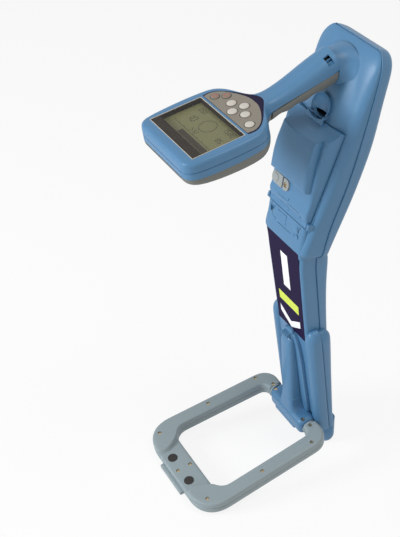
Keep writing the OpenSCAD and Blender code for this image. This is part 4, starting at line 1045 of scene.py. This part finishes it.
def loop_ring(inner, outer, top, bowed, sign):
    """A section of one half of the loop, its upper face bowed along the loop by so much."""
    a, b = Vector((*inner, 0)), Vector((*outer, 0))
    across = (b - a).normalized()
    width = (b - a).length
    shape = [
        (0, 0.3, 0), (0, top - 3, 0), (0.8, top - 0.9, 0), (2.8, top, 0.2), (width * 0.32, top, 0.9),
        (width * 0.64, top, 1), (width - 3.4, top, 0.3), (width - 1, top - 1, 0),
        (width, top - 3.6 if top > 5 else top - 2.4, 0), (width, 0.3, 0),
        (width - 0.3, 0.04, 0), (width / 2, 0.04, 0), (0.3, 0.04, 0),
    ]
    return [a + across * u + Vector((-bowed * bend, 0, sign * v)) for u, v, bend in shape]


loop_places = [Matrix.Translation((0, y, saddle)) for y in (-178, -198)]
for x, y in ((75.4, -17), (49.2, -1.2), (76.2, -101.5), (70.5, -189)):
    loop_places += [Matrix.Translation((side * x, y, half_thick)) for side in (-1, 1)]
piece("loop_screw_heads", screw_heads(loop_places), ["loop_screws"], brass, "loop", at_loop)
top_half = capped([loop_ring(*station, 1) for station in loop_path])
top_meshes = [shaped(top_half, 2, cuts=[screw_holes(loop_places)])]
piece("loop_top_moulding", top_meshes, ["loop_top"], grey_blue, "loop", at_loop)
lip = block(-30, 30, -213, -200, -half_thick, -3.5, 1.6)
base_half = capped([loop_ring(inner, outer, half_thick, 0, -1) for inner, outer, *_ in loop_path])
base_meshes = [shaped(base_half, 2), shaped(lip)]
piece("loop_base_moulding", base_meshes, ["loop_base"], grey_blue, "loop", at_loop)
collars = []
for side in (-1, 1):
    collar = moved(rod(11.3, 3.4), Matrix.Translation((side * 44.1, 0, 0)))
    rounded(collar, [e for e in collar.edges if abs(e.verts[0].co.x - e.verts[1].co.x) < 1], 0.9)
    collars.append(shaped(collar))
piece("hinge_collar_rings", collars, ["hinge_collars"], grey_blue, "loop", at_loop)

# Pieces that keep the frame's own shape: chassis, boards, antennas, coil, cells, springs, pins and
# switches inside the shells, and the loop's rubber buffers. Each is finished as what it is made of.


def finish_nodes(material, *names):
    for name in names:
        obj = frame["nodes"][name]
        obj.data.materials.clear()
        obj.data.materials.append(material)


black = moulded("black plastic", (34, 33, 34), 0.5)
steel = metal("steel", (178, 180, 182), 0.34)
finish_nodes(black, "chassis", "battery_tray", "handle_spigot", "sounder", "accessory_socket", "door_pin")
finish_nodes(rubber, "loop_buffers")
finish_nodes(moulded("board lacquer", (42, 92, 62), 0.35), "main_board", "head_board")
finish_nodes(metal("copper wire", (150, 92, 58), 0.4), "antenna_lower", "antenna_upper", "loop_coil")
finish_nodes(steel, "hinge_shaft", "button_spring", "catch_spring", "key_switches")
finish_nodes(metal("cell can", (190, 190, 186), 0.3), "battery_cells")
finish_nodes(brass, "battery_contacts")

# Stage: a floor of pale paper that the camera sees as nearly white, a soft key lamp from the user's
# side, a weaker lamp from above, a warm fill from the right and a white surround.
floor_mesh = bpy.data.meshes.new("floor")
floor_grid = bmesh.new()
bmesh.ops.create_grid(floor_grid, x_segments=1, y_segments=1, size=30)
floor_grid.to_mesh(floor_mesh)
floor_grid.free()
floor = bpy.data.objects.new("floor", floor_mesh)
bpy.context.scene.collection.objects.link(floor)
paper_floor = moulded("floor", (250, 250, 250), 0.9, grain=60, depth=0.00001, cloud=0.004, specular=0.05)
floor_mesh.materials.append(paper_floor)


def seen_white(tree, shader, output, share):
    """Mixes plain white into what the camera, mirrors and glass see of a shader, and not into the light."""
    path = add_node(tree, "LightPath")
    seen = path.outputs["Is Camera Ray"]
    for ray in ("Is Glossy Ray", "Is Transmission Ray"):
        either = add_node(tree, "Math")
        either.operation = "MAXIMUM"
        tree.links.new(seen, either.inputs[0])
        tree.links.new(path.outputs[ray], either.inputs[1])
        seen = either.outputs[0]
    amount = add_node(tree, "Math")
    amount.operation = "MULTIPLY"
    amount.inputs[1].default_value = share
    glow = "Background" if output.type == "OUTPUT_WORLD" else "Emission"
    white = add_node(tree, glow, Color=(1, 1, 1, 1), Strength=1)
    mix = add_node(tree, "MixShader")
    tree.links.new(seen, amount.inputs[0])
    tree.links.new(amount.outputs[0], mix.inputs["Fac"])
    tree.links.new(shader.outputs[0], mix.inputs[1])
    tree.links.new(white.outputs[0], mix.inputs[2])
    tree.links.new(mix.outputs["Shader"], output.inputs["Surface"])


floor_nodes = paper_floor.node_tree.nodes
seen_white(paper_floor.node_tree, floor_nodes["Principled BSDF"], floor_nodes["Material Output"], 0.85)


def soft_light(name, place, target, size, power, tint=(1, 1, 1)):
    data = bpy.data.lights.new(name, "AREA")
    data.size = size
    data.energy = power
    data.color = tint
    light = bpy.data.objects.new(name, data)
    light.location = place
    light.rotation_euler = (Vector(target) - Vector(place)).to_track_quat("-Z", "Y").to_euler()
    bpy.context.scene.collection.objects.link(light)


soft_light("key", (-0.5, -2.6, 1.2), (0, -0.1, 0.4), 0.8, 50, (0.93, 1, 1.04))
soft_light("top", (0.7, 0.3, 2.4), (0, 0, 0.4), 0.8, 13)
soft_light("fill", (2.2, -0.9, 1.0), (0, -0.1, 0.35), 0.7, 5, (1, 0.94, 0.88))
world = bpy.data.worlds.new("surround")
bpy.context.scene.world = world
world.use_nodes = True
ambient = world.node_tree.nodes["Background"]
set_sockets(ambient, Color=(1, 0.97, 0.92, 1), Strength=0.38)
seen_white(world.node_tree, ambient, world.node_tree.nodes["World Output"], 1)

# Camera: where the photograph was taken from, high on the user's right, with a short telephoto
# lens. Its place is in upright millimetres, and its turns are in degrees about the upright blade.
camera_data = bpy.data.cameras.new("camera")
camera_data.lens = 68.6
camera_data.sensor_width = 36
camera_data.clip_end = 50
camera = bpy.data.objects.new("camera", camera_data)
eye = Vector((864.9, -507, 1267.4))
azimuth, elevation, roll = (math.radians(a) for a in (67.123, 42.181, -10.633))
aim = (
    Matrix.Rotation(lean, 4, "X")
    @ Matrix.Rotation(azimuth, 4, "Z")
    @ Matrix.Rotation(math.pi / 2 - elevation, 4, "X")
    @ Matrix.Rotation(roll, 4, "Z")
)
camera.matrix_world = Matrix.Translation(upright @ eye) @ aim
bpy.context.scene.collection.objects.link(camera)
bpy.context.scene.camera = camera
bpy.context.scene.view_settings.view_transform = "Standard"
